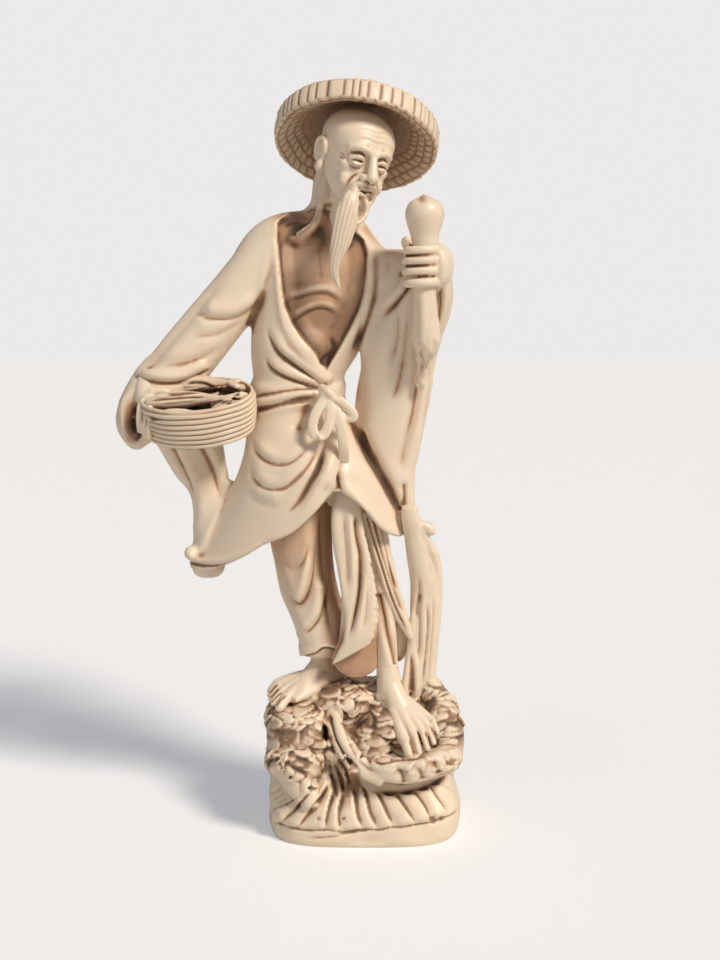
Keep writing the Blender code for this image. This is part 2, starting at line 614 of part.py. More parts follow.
def make_basket(where, finish):
    """An oval basket of stacked coils with a hollow for the catch, and a plug of its outer shape.

    The plug keeps the neighbours out of the hollow as well as out of the wall.
    """
    outer = []
    for step in range(2 * BASKET_COILS + 1):
        up = step / (2.0 * BASKET_COILS)
        draw_in = 0.86 + 0.14 * math.sin(0.5 * math.pi * min(1.0, 0.25 + up)) - (0.0 if step % 2 else 0.022)
        outer.append(basket_ring(draw_in, 0.0, up))
    rim = [basket_ring(0.99, 0.5 * BASKET_WALL, 1.05), basket_ring(0.99, BASKET_WALL, 1.0)]
    floor = basket_ring(0.92, BASKET_WALL, BASKET_FLOOR / BASKET_HEIGHT)
    basket = in_basket_frame("basket", outer + rim + [floor], where)
    basket.data.materials.append(finish)
    plug = in_basket_frame("basket_plug", outer + rim[:1], bpy.data.collections["cutters"])
    plug.hide_render = True
    plug.display_type = "WIRE"
    return basket, plug


def in_basket_frame(name, rings, where):
    """An object from one skin through rings that are given in the basket's own frame."""
    form = bmesh.new()
    place = basket_matrix()
    skin(form, [[place @ Vector(point) for point in ring] for ring in rings])
    mesh = bpy.data.meshes.new(name)
    form.to_mesh(mesh)
    form.free()
    obj = bpy.data.objects.new(name, mesh)
    where.objects.link(obj)
    return obj


def basket_ring(share, inset, up):
    centre = (0.0, 0.0, (up - 1.0) * BASKET_HEIGHT)
    half_length, half_breadth = share * BASKET_LENGTH / 2 - inset, share * BASKET_BREADTH / 2 - inset
    return oval(centre, (1, 0, 0), (0, -1, 0), half_length, half_breadth, around=BASKET_SIDES)


def make_catch(where, finish):
    """Fish lying side by side in the basket, heads to the hand, with forked tails at the far end."""
    form = bmesh.new()
    inner = 1.0 - BASKET_WALL / (BASKET_BREADTH / 2)
    laid = [(-0.05, -0.58, 0.90), (-0.02, -0.22, 1.02), (-0.08, 0.14, 1.04), (-0.03, 0.50, 0.92)]
    for along_basket, aside, up in laid:
        room = inner * math.sqrt(1.0 - (aside / inner) ** 2)
        nose = basket_point(along_basket - 0.80 * room, aside, up - 0.12)
        far_end = basket_point(along_basket + 0.80 * room, aside, up - 0.05)
        tail = nose + (FISH_LENGTH * room) * (far_end - nose).normalized()
        body = [nose.lerp(tail, share) for share in (0.0, 0.2, 0.45, 0.7, 0.88, 1.0)]
        girths = [(1.0, 1.0), (2.5, 2.2), (3.2, 2.6), (2.3, 2.0), (1.1, 1.2), (1.1, 2.4)]
        halves = [(a / 3.2 * FISH_GIRTH, b / 3.2 * FISH_GIRTH) for a, b in girths]
        skin(form, between(along(body, halves, (0.0, -0.3, 1.0)), 3))
    bed = basket_point(0.0, 0.0, 0.60)
    turn = basket_matrix().to_3x3().to_4x4()
    ball(form, bed, (0.80 * BASKET_LENGTH / 2, 0.80 * BASKET_BREADTH / 2, 0.40 * BASKET_HEIGHT), turn)
    return solid("catch", form, where, finish, 440, voxel=0.6 * MM, smooth=1)


def make_left_sleeve(where, finish):
    """The raised arm: a wide sleeve that hangs from shoulder and wrist to a point beside the skirt."""
    form = bmesh.new()
    cloth = [(0.03, 6.0, 15.5, -8.0, 4.5), (0.07, 4.5, 23.5, -14.0, 7.5), (0.16, 3.6, 28.4, -19.0, 8.5),
             (0.26, 2.4, 27.8, -18.0, 8.0), (0.36, 0.6, 25.4, -16.0, 7.0), (0.47, -0.8, 23.8, -14.5, 6.0),
             (0.58, -0.9, 22.8, -13.5, 5.0), (0.69, 1.4, 20.8, -12.5, 3.5), (0.80, 6.0, 18.2, -11.5, 1.5),
             (0.90, 11.2, 17.6, -10.5, -1.0), (1.0, 13.8, 17.8, -9.5, -4.0)]
    skin(form, between(slices(cloth, SHOULDER_Z, -LEFT_SLEEVE_DROP, 2.2), 3))
    ball(form, LEFT_SHOULDER, (0.8 * SHOULDER_RADIUS, 0.95 * SHOULDER_RADIUS, 0.8 * SHOULDER_RADIUS))
    peg_end = LEFT_SHOULDER + (0.8 * SHOULDER_RADIUS + PEG_LENGTH) * Vector((-0.95, 0.0, -0.3))
    finger(form, [LEFT_SHOULDER, LEFT_SHOULDER.lerp(peg_end, 0.5), peg_end], PEG_RADIUS, 1.0)
    sleeve = solid("left_sleeve", form, where, finish, 640)
    mouth = bmesh.new()
    ball(mouth, FIST + Vector((5.8, 5.0, -11.5)) * MM, (2.3 * MM, 8.0 * MM, 6.5 * MM))
    cutter(sleeve, "left_cuff_mouth", mouth)
    return sleeve


def make_left_fist(where, finish):
    """Forearm stub, back of the hand and four fingers round the staff."""
    form = bmesh.new()
    elbow = FIST + Vector((1.5, 15.0, -7.0)) * MM
    heel_of_hand = FIST + Vector((0.0, 3.0 * MM, 0.0))
    halves = [(4.4 * MM, 4.0 * MM), (4.6 * MM, 3.8 * MM), (5.8 * MM, 4.6 * MM)]
    skin(form, between(along([elbow, elbow.lerp(FIST, 0.5), heel_of_hand], halves, (0, 0, 1)), 3))
    ball(form, FIST + Vector((1.6, 2.5, 0.0)) * MM, (6.0 * MM, 5.6 * MM, 7.6 * MM))
    around_staff = STAFF_RADIUS + 0.9 * FINGER_RADIUS
    for place in range(4):
        centre = FIST + Vector((0.0, 0.0, (place - 1.5) * FINGER_PITCH))
        angles = np.radians([20.0, -25.0, -75.0, -125.0, -165.0])
        points = [centre + around_staff * Vector((math.cos(a), math.sin(a), 0.0)) for a in angles]
        finger(form, points, FINGER_RADIUS, 0.9)
    thumb = [FIST + Vector((-5.0, 3.0, 2.0)) * MM, FIST + Vector((-6.2, -1.5, 4.5)) * MM,
             FIST + Vector((-3.6, -5.2, 7.4)) * MM]
    finger(form, thumb, 1.15 * FINGER_RADIUS, 0.85)
    return solid("left_fist", form, where, finish, 480, voxel=0.6 * MM, smooth=1)


def make_staff_upper(where, finish):
    """The gripped end: a pointed knob on a collar, and a shaft that ends in a ragged break."""
    form = bmesh.new()
    knob_part = 0.26
    profile = [(0.0, 0.10), (0.02, 0.26), (0.04, 0.50), (0.06, 0.80), (0.09, 0.97), (0.12, 1.0),
               (0.16, 0.90), (0.20, 0.77), (knob_part, 0.68), (0.34, 1.08), (0.45, 1.0), (0.62, 1.08),
               (0.74, 1.22), (0.79, 1.0), (0.88, 0.7), (1.0, 0.4)]
    path = []
    halves = []
    for share, radius in profile:
        sway = 2.2 * MM * math.sin(math.pi * max(0.0, share - 0.3))
        lean = 24.0 * MM * max(0.0, share - 0.45) ** 2
        path.append(STAFF_AXIS + Vector((sway, lean, -share * STAFF_TOP_LENGTH)))
        size = radius * (STAFF_KNOB_RADIUS if share <= knob_part else STAFF_RADIUS)
        halves.append((size, size))
    skin(form, between(along(path, halves, (1, 0, 0)), 2))
    return solid("staff_upper", form, where, finish, 340, voxel=0.6 * MM, smooth=1)


def make_staff_lower(where, finish):
    """The lower length: a gnarled root that swells, forks at the top and stands in the rock."""
    form = bmesh.new()
    low = BASE_HEIGHT - PEG_LENGTH
    high = SLEEVE_TIP_Z + STAFF_SEAT
    root = [(0.0, 17.6, 21.4, -6.0, 1.0), (0.09, 16.6, 22.8, -7.0, 2.5),
            (0.28, 16.6, 24.2, -8.0, 3.0), (0.43, 16.2, 25.6, -8.6, 2.6),
            (0.57, 16.3, 26.6, -9.0, 1.6), (0.70, 16.2, 25.4, -10.0, 0.0),
            (0.84, 15.9, 21.8, -11.5, -3.5), (0.92, 16.6, 22.0, -12.5, -5.5),
            (1.0, 16.4, 20.6, -13.0, -8.0)]
    skin(form, between(slices(root, low, high - low, 2.2), 3))
    fork = Vector((19.5 * MM, -9.0 * MM, low + 0.92 * (high - low)))
    nub = [fork, fork + Vector((3.2, 0.5, -0.4)) * MM, fork + Vector((5.4, 1.0, -1.2)) * MM]
    finger(form, nub, 1.9 * MM, 1.0)
    return solid("staff_lower", form, where, finish, 360)


# Head and hat


def head_turn():
    roll = Matrix.Rotation(math.radians(HEAD_ROLL), 4, "Y")
    yaw = Matrix.Rotation(math.radians(HEAD_YAW), 4, "Z")
    pitch = Matrix.Rotation(math.radians(HEAD_PITCH), 4, "X")
    return roll @ yaw @ pitch


def head_point(x, y, z):
    """A point by shares of the head's half width, half depth and half height."""
    local = Vector((x * HEAD_WIDTH / 2, y * HEAD_DEPTH / 2, z * HEAD_HEIGHT / 2))
    return HEAD_CENTRE + head_turn() @ local


def make_head(where, finish):
    """A bald old head on canon proportions, with a wisp of beard, on a neck that pegs into the robe."""
    form = bmesh.new()
    turn = head_turn()
    half = Vector((HEAD_WIDTH, HEAD_DEPTH, HEAD_HEIGHT)) / 2
    ball(form, head_point(0, 0.06, 0.24), (half[0] * 0.98, half[1] * 0.98, half[2] * 0.76), turn)
    ball(form, head_point(0, -0.22, -0.30), (half[0] * 0.78, half[1] * 0.66, half[2] * 0.66), turn)
    ball(form, head_point(0, -0.46, -0.76), (half[0] * 0.36, half[1] * 0.30, half[2] * 0.24), turn)
    ball(form, head_point(0, -0.78, 0.12), (half[0] * 0.60, half[1] * 0.16, half[2] * 0.10), turn)
    finger(form, [head_point(0, -0.88, 0.04), head_point(0, -1.02, -0.16), head_point(0, -1.10, -0.26)],
           1.7 * MM, 1.2)
    for side in (-1, 1):
        ball(form, head_point(side * 0.98, 0.10, -0.06), (1.3 * MM, 2.7 * MM, 4.6 * MM), turn)
        ball(form, head_point(side * 0.50, -0.62, -0.20), (3.2 * MM, 2.6 * MM, 2.8 * MM), turn)
        strand = [head_point(side * 0.12, -0.98, -0.44), head_point(side * 0.40, -0.92, -0.58),
                  head_point(side * 0.42, -0.84, -0.86)]
        finger(form, strand, 1.1 * MM, 0.8)
    chin = head_point(0, -0.62, -0.84)
    beard = [chin + Vector((0, 2.0 * MM, 3.0 * MM))]
    for share, x, y in ((0.12, -1.0, -1.0), (0.40, -2.4, -1.6), (0.70, -3.6, -1.8), (1.0, -3.4, -0.6)):
        beard.append(chin + Vector((x * MM, y * MM, -share * BEARD_LENGTH)))
    widths = [(3.4, 2.6), (3.9, 2.8), (3.0, 2.2), (1.9, 1.6), (0.7, 0.7)]
    skin(form, between(along(beard, [(a * MM, b * MM) for a, b in widths], (1, 0, 0)), 3))
    skull_base = head_point(0, 0.30, -0.30)
    spigot = NECK - Vector((0, 0, NECK_RISE + PEG_LENGTH))
    path = [spigot, NECK - Vector((0, 0, NECK_RISE)), NECK, skull_base]
    sizes = [(NECK_RADIUS * k, NECK_RADIUS * k) for k in (0.8, 1.25, 1.0, 0.95)]
    skin(form, between(along(path, sizes, (1, 0, 0)), 3))
    return solid("head", form, where, finish, 950, voxel=0.7 * MM, smooth=1)


def make_hat(where, finish):
    """A turned straw hat, worn on the back of the head with its hollow side to the front."""
    lip = HAT_RADIUS - HAT_WALL
    profile = [
        (0.0, HAT_RISE), (0.30 * HAT_RADIUS, 0.88 * HAT_RISE), (0.72 * HAT_RADIUS, 0.60 * HAT_RISE),
        (0.95 * HAT_RADIUS, HAT_EDGE + 1.0 * MM), (HAT_RADIUS, HAT_EDGE - 0.6 * MM), (HAT_RADIUS, 0.8 * MM),
        (0.97 * HAT_RADIUS, 0.0), (lip, 0.6 * MM), (0.60 * HAT_RADIUS, 0.60 * HAT_RISE - HAT_WALL),
        (0.25 * HAT_RADIUS, 0.86 * HAT_RISE - HAT_WALL), (0.0, HAT_RISE - HAT_WALL),
    ]
    mesh = bpy.data.meshes.new("hat")
    mesh.from_pydata([(x, 0, z) for x, z in profile], [(i, i + 1) for i in range(len(profile) - 1)], [])
    hat = bpy.data.objects.new("hat", mesh)
    where.objects.link(hat)
    screw = hat.modifiers.new("turn", "SCREW")
    screw.steps = screw.render_steps = 32
    screw.use_merge_vertices = True
    screw.merge_threshold = 0.00001
    settle(hat)
    tilt = Matrix.Rotation(math.radians(HAT_TILT), 4, "X")
    roll = Matrix.Rotation(math.radians(HAT_ROLL), 4, "Y")
    hat.data.transform(Matrix.Translation(HAT_CENTRE) @ roll @ tilt.inverted())
    made = bmesh.new()
    made.from_mesh(hat.data)
    bmesh.ops.recalc_face_normals(made, faces=made.faces)
    made.to_mesh(hat.data)
    made.free()
    hat.data.materials.append(finish)
    return hat


def cutter(obj, name, form):
    """Takes a gathered form out of the object."""
    mesh = bpy.data.meshes.new(name)
    form.to_mesh(mesh)
    form.free()
    tool = bpy.data.objects.new(name, mesh)
    bpy.data.collections["cutters"].objects.link(tool)
    cut(obj, tool)
    bpy.data.objects.remove(tool)


def hang_on_root(obj, anchor, root):
    """Gives the object its origin at its joint and hangs it on the root."""
    obj.data.transform(Matrix.Translation(-Vector(anchor)))
    obj.location = anchor
    obj.parent = root
    obj.data.shade_smooth()
    obj.data.set_sharp_from_angle(angle=math.radians(40))


def main():
    clear_scene()
    where = collection("resin_figurine")
    collection("cutters", hidden=True)
    root = bpy.data.objects.new("figurine", None)
    where.objects.link(root)
    ivory, shade = (material("ivory_resin", IVORY, 0.38), material("shaded_resin", IVORY_DARK, 0.45))
    steel = material("steel_wire", STEEL, 0.3, 1.0)
    rock = make_rock_base(where, shade)
    right_leg = make_right_leg(where, ivory)
    left_leg = make_left_leg(where, ivory)
    wrap_flap = make_wrap_flap(where, ivory)
    robe = make_robe(where, ivory)
    bow = make_sash_bow(where, ivory)
    right_sleeve = make_right_sleeve(where, ivory)
    basket, plug = make_basket(where, shade)
    right_hand = make_right_hand(where, ivory)
    catch = make_catch(where, shade)
    left_sleeve = make_left_sleeve(where, ivory)
    staff_upper = make_staff_upper(where, ivory)
    left_fist = make_left_fist(where, ivory)
    staff_lower = make_staff_lower(where, ivory)
    head = make_head(where, ivory)
    hat = make_hat(where, shade)
    pins = []
    for name, ankle in (("right_ankle_pin", RIGHT_ANKLE), ("left_ankle_pin", LEFT_ANKLE)):
        foot = ankle - Vector((0, 0, PIN_SINK))
        pins.append(rod(name, where, foot, foot + Vector((0, 0, PIN_LENGTH)), PIN_RADIUS, steel))

    pieces = [right_leg, left_leg, wrap_flap, bow, right_sleeve, basket, right_hand, catch, left_sleeve,
              staff_upper, left_fist, staff_lower, head, *pins]
    for piece in pieces + [plug]:
        mould(piece)
    seat(basket, catch)
    seat(right_hand, basket, catch)
    seat(right_sleeve, right_hand, plug, catch)
    seat(left_fist, staff_upper)
    seat(left_sleeve, left_fist, staff_upper)
    seat(staff_lower, left_sleeve)
    seat(left_leg, wrap_flap, staff_lower, pins[1])
    seat(right_leg, pins[0])
    seat(robe, head, left_leg, right_leg, wrap_flap, left_sleeve, right_sleeve, bow, plug, staff_lower)
    seat(rock, right_leg, left_leg, staff_lower, *pins)
    seat(hat, head)

    anchors = {
        rock: (0, 0, 0), right_leg: RIGHT_ANKLE, left_leg: LEFT_ANKLE, robe: (0, 0, WAIST_Z),
        wrap_flap: (0, 0, BASE_HEIGHT), bow: (0, 0, WAIST_Z), right_sleeve: RIGHT_SHOULDER,
        right_hand: RIGHT_WRIST, basket: BASKET_CENTRE, catch: BASKET_CENTRE, left_sleeve: LEFT_SHOULDER,
        left_fist: FIST, staff_upper: STAFF_AXIS, staff_lower: (0, 0, BASE_HEIGHT), head: NECK,
        hat: HAT_CENTRE, pins[0]: RIGHT_ANKLE, pins[1]: LEFT_ANKLE,
    }
    for obj, anchor in anchors.items():
        hang_on_root(obj, anchor, root)


main()
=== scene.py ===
"""Looks of the resin fisherman: cast cloth with carved folds, skin, plaited straw, split rock and foam.

Sizes are millimetres until a mesh is written. The figure faces -Y. Folds are drawn as lines on the upright
plane y = 0, as the eye sees them from in front, and pressed into the surface that lies behind the line.
"""

import math
import re

import bpy
import numpy as np
from mathutils import Matrix, Vector


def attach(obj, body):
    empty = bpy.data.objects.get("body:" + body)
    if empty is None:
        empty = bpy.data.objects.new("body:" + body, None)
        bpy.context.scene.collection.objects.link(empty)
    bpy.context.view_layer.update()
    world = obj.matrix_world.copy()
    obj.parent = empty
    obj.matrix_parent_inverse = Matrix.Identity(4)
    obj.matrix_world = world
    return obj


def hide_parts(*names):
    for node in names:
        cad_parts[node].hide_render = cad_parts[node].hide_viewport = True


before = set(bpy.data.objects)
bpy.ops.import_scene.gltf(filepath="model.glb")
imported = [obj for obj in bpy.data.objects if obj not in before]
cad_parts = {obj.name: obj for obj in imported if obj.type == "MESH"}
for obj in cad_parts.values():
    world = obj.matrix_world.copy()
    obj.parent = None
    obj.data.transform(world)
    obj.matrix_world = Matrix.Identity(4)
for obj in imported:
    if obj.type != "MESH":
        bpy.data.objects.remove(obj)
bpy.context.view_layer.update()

MM = 0.001
EYE = np.array((-1.4, -495.1, 193.1))
AIM = np.array((-1.4, 0.0, 123.5))
LENS = 53.5714
AROUND = 96


def numbers(text):
    """Rows of numbers out of text: commas within a row, blanks between rows."""
    return np.array([[float(value) for value in row.split(",")] for row in text.split()])


# Skins through sections


def through(rows, steps):
    """Rows of numbers, or of rings, on a smooth curve through the given ones."""
    rows = np.asarray(rows, float)
    padded = np.concatenate([2 * rows[:1] - rows[1:2], rows, 2 * rows[-1:] - rows[-2:-1]])
    a, b, c, d = padded[:-3], padded[1:-2], padded[2:-1], padded[3:]
    t = (np.arange(steps) / steps).reshape(-1, *[1] * rows.ndim)
    curve = 0.5 * (2 * b + (c - a) * t + (2 * a - 5 * b + 4 * c - d) * t**2 + (3 * b - a - 3 * c + d) * t**3)
    return np.concatenate([np.moveaxis(curve, 0, 1).reshape(-1, *rows.shape[1:]), rows[-1:]])


def unit(vectors):
    """The vectors at length 1."""
    vectors = np.asarray(vectors, float)
    return vectors / np.maximum(np.linalg.norm(vectors, axis=-1, keepdims=True), 1e-9)


def oval(centre, across, forward, half_width, half_depth, power=2.0, around=AROUND):
    """A closed section: it starts at the front and goes round by the side that across points to."""
    angle = np.linspace(0.0, 2.0 * math.pi, around, endpoint=False)
    side, front = np.sin(angle), np.cos(angle)
    side = (np.sign(side) * np.abs(side) ** (2.0 / power))[:, None] * np.asarray(across, float)
    front = (np.sign(front) * np.abs(front) ** (2.0 / power))[:, None] * np.asarray(forward, float)
    return np.asarray(centre, float) + half_width * side + half_depth * front


def skin(rings):
    """One closed skin of quads through rings of an even number of points, with a hub in each end."""
    rings = np.asarray(rings, float)
    count, around = rings.shape[:2]
    here = np.arange(around)
    there = (here + 1) % around
    low = np.arange(count - 1)[:, None] * around
    quads = np.stack([low + here, low + there, low + around + there, low + around + here], axis=-1)
    points = np.concatenate([rings.reshape(-1, 3), rings[:1].mean(axis=1), rings[-1:].mean(axis=1)])
    first = np.arange(0, around, 2)
    second, third, last = first + 1, (first + 2) % around, (count - 1) * around
    hub = np.full(len(first), count * around)
    foot = np.stack([third, second, first, hub], axis=1)
    top = np.stack([first + last, second + last, third + last, hub + 1], axis=1)
    return points, np.concatenate([quads.reshape(-1, 4), foot, top])


def levels(rows, power=2.3, steps=8):
    """A skin through level sections, each (height, left, right, front, back)."""
    rings = []
    for height, left, right, front, back in through(rows, steps):
        centre = ((left + right) / 2, (front + back) / 2, height)
        rings.append(oval(centre, (1, 0, 0), (0, -1, 0), (right - left) / 2, (back - front) / 2, power))
    return skin(rings)


def limb(stops, side, power=2.0, steps=6, around=AROUND):
    """A skin along a path of (x, y, z, half size along side, half size square to it)."""
    stops = through(stops, steps)
    path, tangents = stops[:, :3], unit(np.gradient(stops[:, :3], axis=0))
    first = unit(np.asarray(side, float) - (tangents @ np.asarray(side, float))[:, None] * tangents)
    second = np.cross(tangents, first)
    return skin([oval(p, a, b, w, h, power, around)
                 for p, a, b, (w, h) in zip(path, first, second, stops[:, 3:5])])


def sheet(left, right, deep, steps=6):
    """A strip of cloth between two edges with as many stops each, half as thick as deep says at each stop."""
    left, right = through(left, steps), through(right, steps)
    deep = through(np.array(deep)[:, None], steps)[:, 0]
    middle, across = 0.5 * (left + right), unit(right - left)
    forward = unit(np.cross(across, np.gradient(middle, axis=0)))
    half = 0.5 * np.linalg.norm(right - left, axis=1)
    return skin([oval(*ring, 2.2) for ring in zip(middle, across, forward, half, deep)])


def finger(points, radius, tip=0.8):
    """A round finger, strand or strap along its joints, with rounded ends."""
    points = np.asarray(points, float)
    share = np.linspace(0.0, 1.0, len(points))
    sizes = radius * (1.0 + (tip - 1.0) * share)
    start, end = unit(points[0] - points[1]), unit(points[-1] - points[-2])
    stops = [[*(points[0] + 0.9 * sizes[0] * start), 0.35 * sizes[0]]]
    stops += [[*point, size] for point, size in zip(points, sizes)]
    stops = np.array([*stops, [*(points[-1] + 0.9 * sizes[-1] * end), 0.35 * sizes[-1]]])
    return limb(np.column_stack([stops, stops[:, 3]]), (0.31, 0.22, 0.92), around=24)


def placed(points, centre, turn):
    """Points turned about the origin and then moved."""
    return points @ np.array(turn.to_3x3()).T + centre


def ring_grid(wide, deep, height, around):
    """Rings of points from half widths, half depths and heights, and the share of the turn of each point."""
    angle = np.linspace(0.0, 2.0 * math.pi, around, endpoint=False)
    rings = [wide[:, None] * np.sin(angle), -deep[:, None] * np.cos(angle), height[:, None] + 0.0 * angle]
    return np.stack(rings, axis=-1), angle[None] / (2.0 * math.pi)


def ball(centre, radii, turn=None, around=48):
    """An ellipsoid from its angle round and its angle up."""
    up = np.linspace(-0.5 * math.pi, 0.5 * math.pi, around // 2)[1:-1]
    rings = ring_grid(np.cos(up), np.cos(up), np.sin(up), around)[0] * np.asarray(radii, float)
    return skin(placed(rings, np.asarray(centre, float), turn or Matrix()))


def balls(rows):
    """Balls from rows of a centre and three radii."""
    return [ball(row[:3], row[3:]) for row in rows]


def turned(*turns):
    """Turns about named axes in degrees, of which the last works first."""
    whole = Matrix()
    for axis, degrees in turns:
        whole = whole @ Matrix.Rotation(math.radians(degrees), 4, axis)
    return whole


# Clay: a fused skin whose points can be pressed


def mesh_of(name, points, quads, triangles=()):
    """A mesh from points in millimetres, quads and any triangles, as whole arrays."""
    mesh = bpy.data.meshes.new(name)
    corners = np.concatenate([np.ravel(quads), np.ravel(triangles)]).astype(np.int32)
    ends = 4 * len(quads)
    starts = np.concatenate([np.arange(0, ends, 4), ends + 3 * np.arange(len(triangles))])
    mesh.vertices.add(len(points))
    mesh.vertices.foreach_set("co", (np.asarray(points) * MM).ravel())
    mesh.loops.add(len(corners))
    mesh.loops.foreach_set("vertex_index", corners)
    mesh.polygons.add(len(starts))
    mesh.polygons.foreach_set("loop_start", starts.astype(np.int32))
    mesh.update(calc_edges=True)
    return mesh


def evaluated(obj):
    """The points in millimetres and the quads of an object with its modifiers applied."""
    graph = bpy.context.evaluated_depsgraph_get()
    mesh = obj.evaluated_get(graph).to_mesh()
    points = np.empty(len(mesh.vertices) * 3, np.float32)
    mesh.vertices.foreach_get("co", points)
    quads = np.empty(len(mesh.loops), np.int32)
    mesh.loops.foreach_get("vertex_index", quads)
    obj.evaluated_get(graph).to_mesh_clear()
    return points.reshape(-1, 3).astype(float) / MM, quads.reshape(-1, 4)


def fused(forms, voxel, hollows=()):
    """Voxel skin over all the forms, less the hollows, as points and quads."""
    parts = []
    for name, group in (("forms", forms), ("hollows", hollows)):
        if not group:
            continue
        starts = np.cumsum([0] + [len(points) for points, _ in group])
        points = np.concatenate([points for points, _ in group])
        quads = np.concatenate([quads + start for (_, quads), start in zip(group, starts)])
        obj = bpy.data.objects.new(name, mesh_of(name, points, quads))
        bpy.context.scene.collection.objects.link(obj)
        remesh = obj.modifiers.new("fuse", "REMESH")
        remesh.mode, remesh.voxel_size = "VOXEL", voxel * MM
        parts.append(obj)
    body = parts[0]
    if len(parts) > 1:
        take = body.modifiers.new("take", "BOOLEAN")
        take.operation, take.object = "DIFFERENCE", parts[1]
        again = body.modifiers.new("again", "REMESH")
        again.mode, again.voxel_size = "VOXEL", voxel * MM
    bpy.context.view_layer.update()
    points, quads = evaluated(body)
    for obj in parts:
        data = obj.data
        bpy.data.objects.remove(obj)
        bpy.data.meshes.remove(data)
    return points, quads


def seen(points):
    """Where the eye sees each point on the plane y = 0, as (x, z)."""
    share = -EYE[1] / (points[:, 1] - EYE[1])
    return (EYE + (points - EYE) * share[:, None])[:, [0, 2]]


def step_up(value, low, high):
    """A smooth step from 0 at low to 1 at high."""
    t = np.clip((value - low) / (high - low), 0.0, 1.0)
    return t * t * (3.0 - 2.0 * t)


def nearest(path, places):
    """Distance to a path, the side (+1 is left of travel), and the share of the way along."""
    start, run = path[:-1], np.diff(path, axis=0)
    reach = np.maximum((run**2).sum(1), 1e-9)
    rel = places[:, None] - start[None]
    t = np.clip((rel * run[None]).sum(2) / reach, 0.0, 1.0)
    gap = rel - t[..., None] * run[None]
    far = np.sqrt((gap**2).sum(2))
    k = np.argmin(far, axis=1)
    rows = np.arange(len(places))
    cross = run[k, 0] * gap[rows, k, 1] - run[k, 1] * gap[rows, k, 0]
    passed = np.concatenate([[0.0], np.cumsum(np.sqrt(reach))])
    share = (passed[k] + t[rows, k] * np.sqrt(reach)[k]) / passed[-1]
    return far[rows, k], np.sign(cross), share


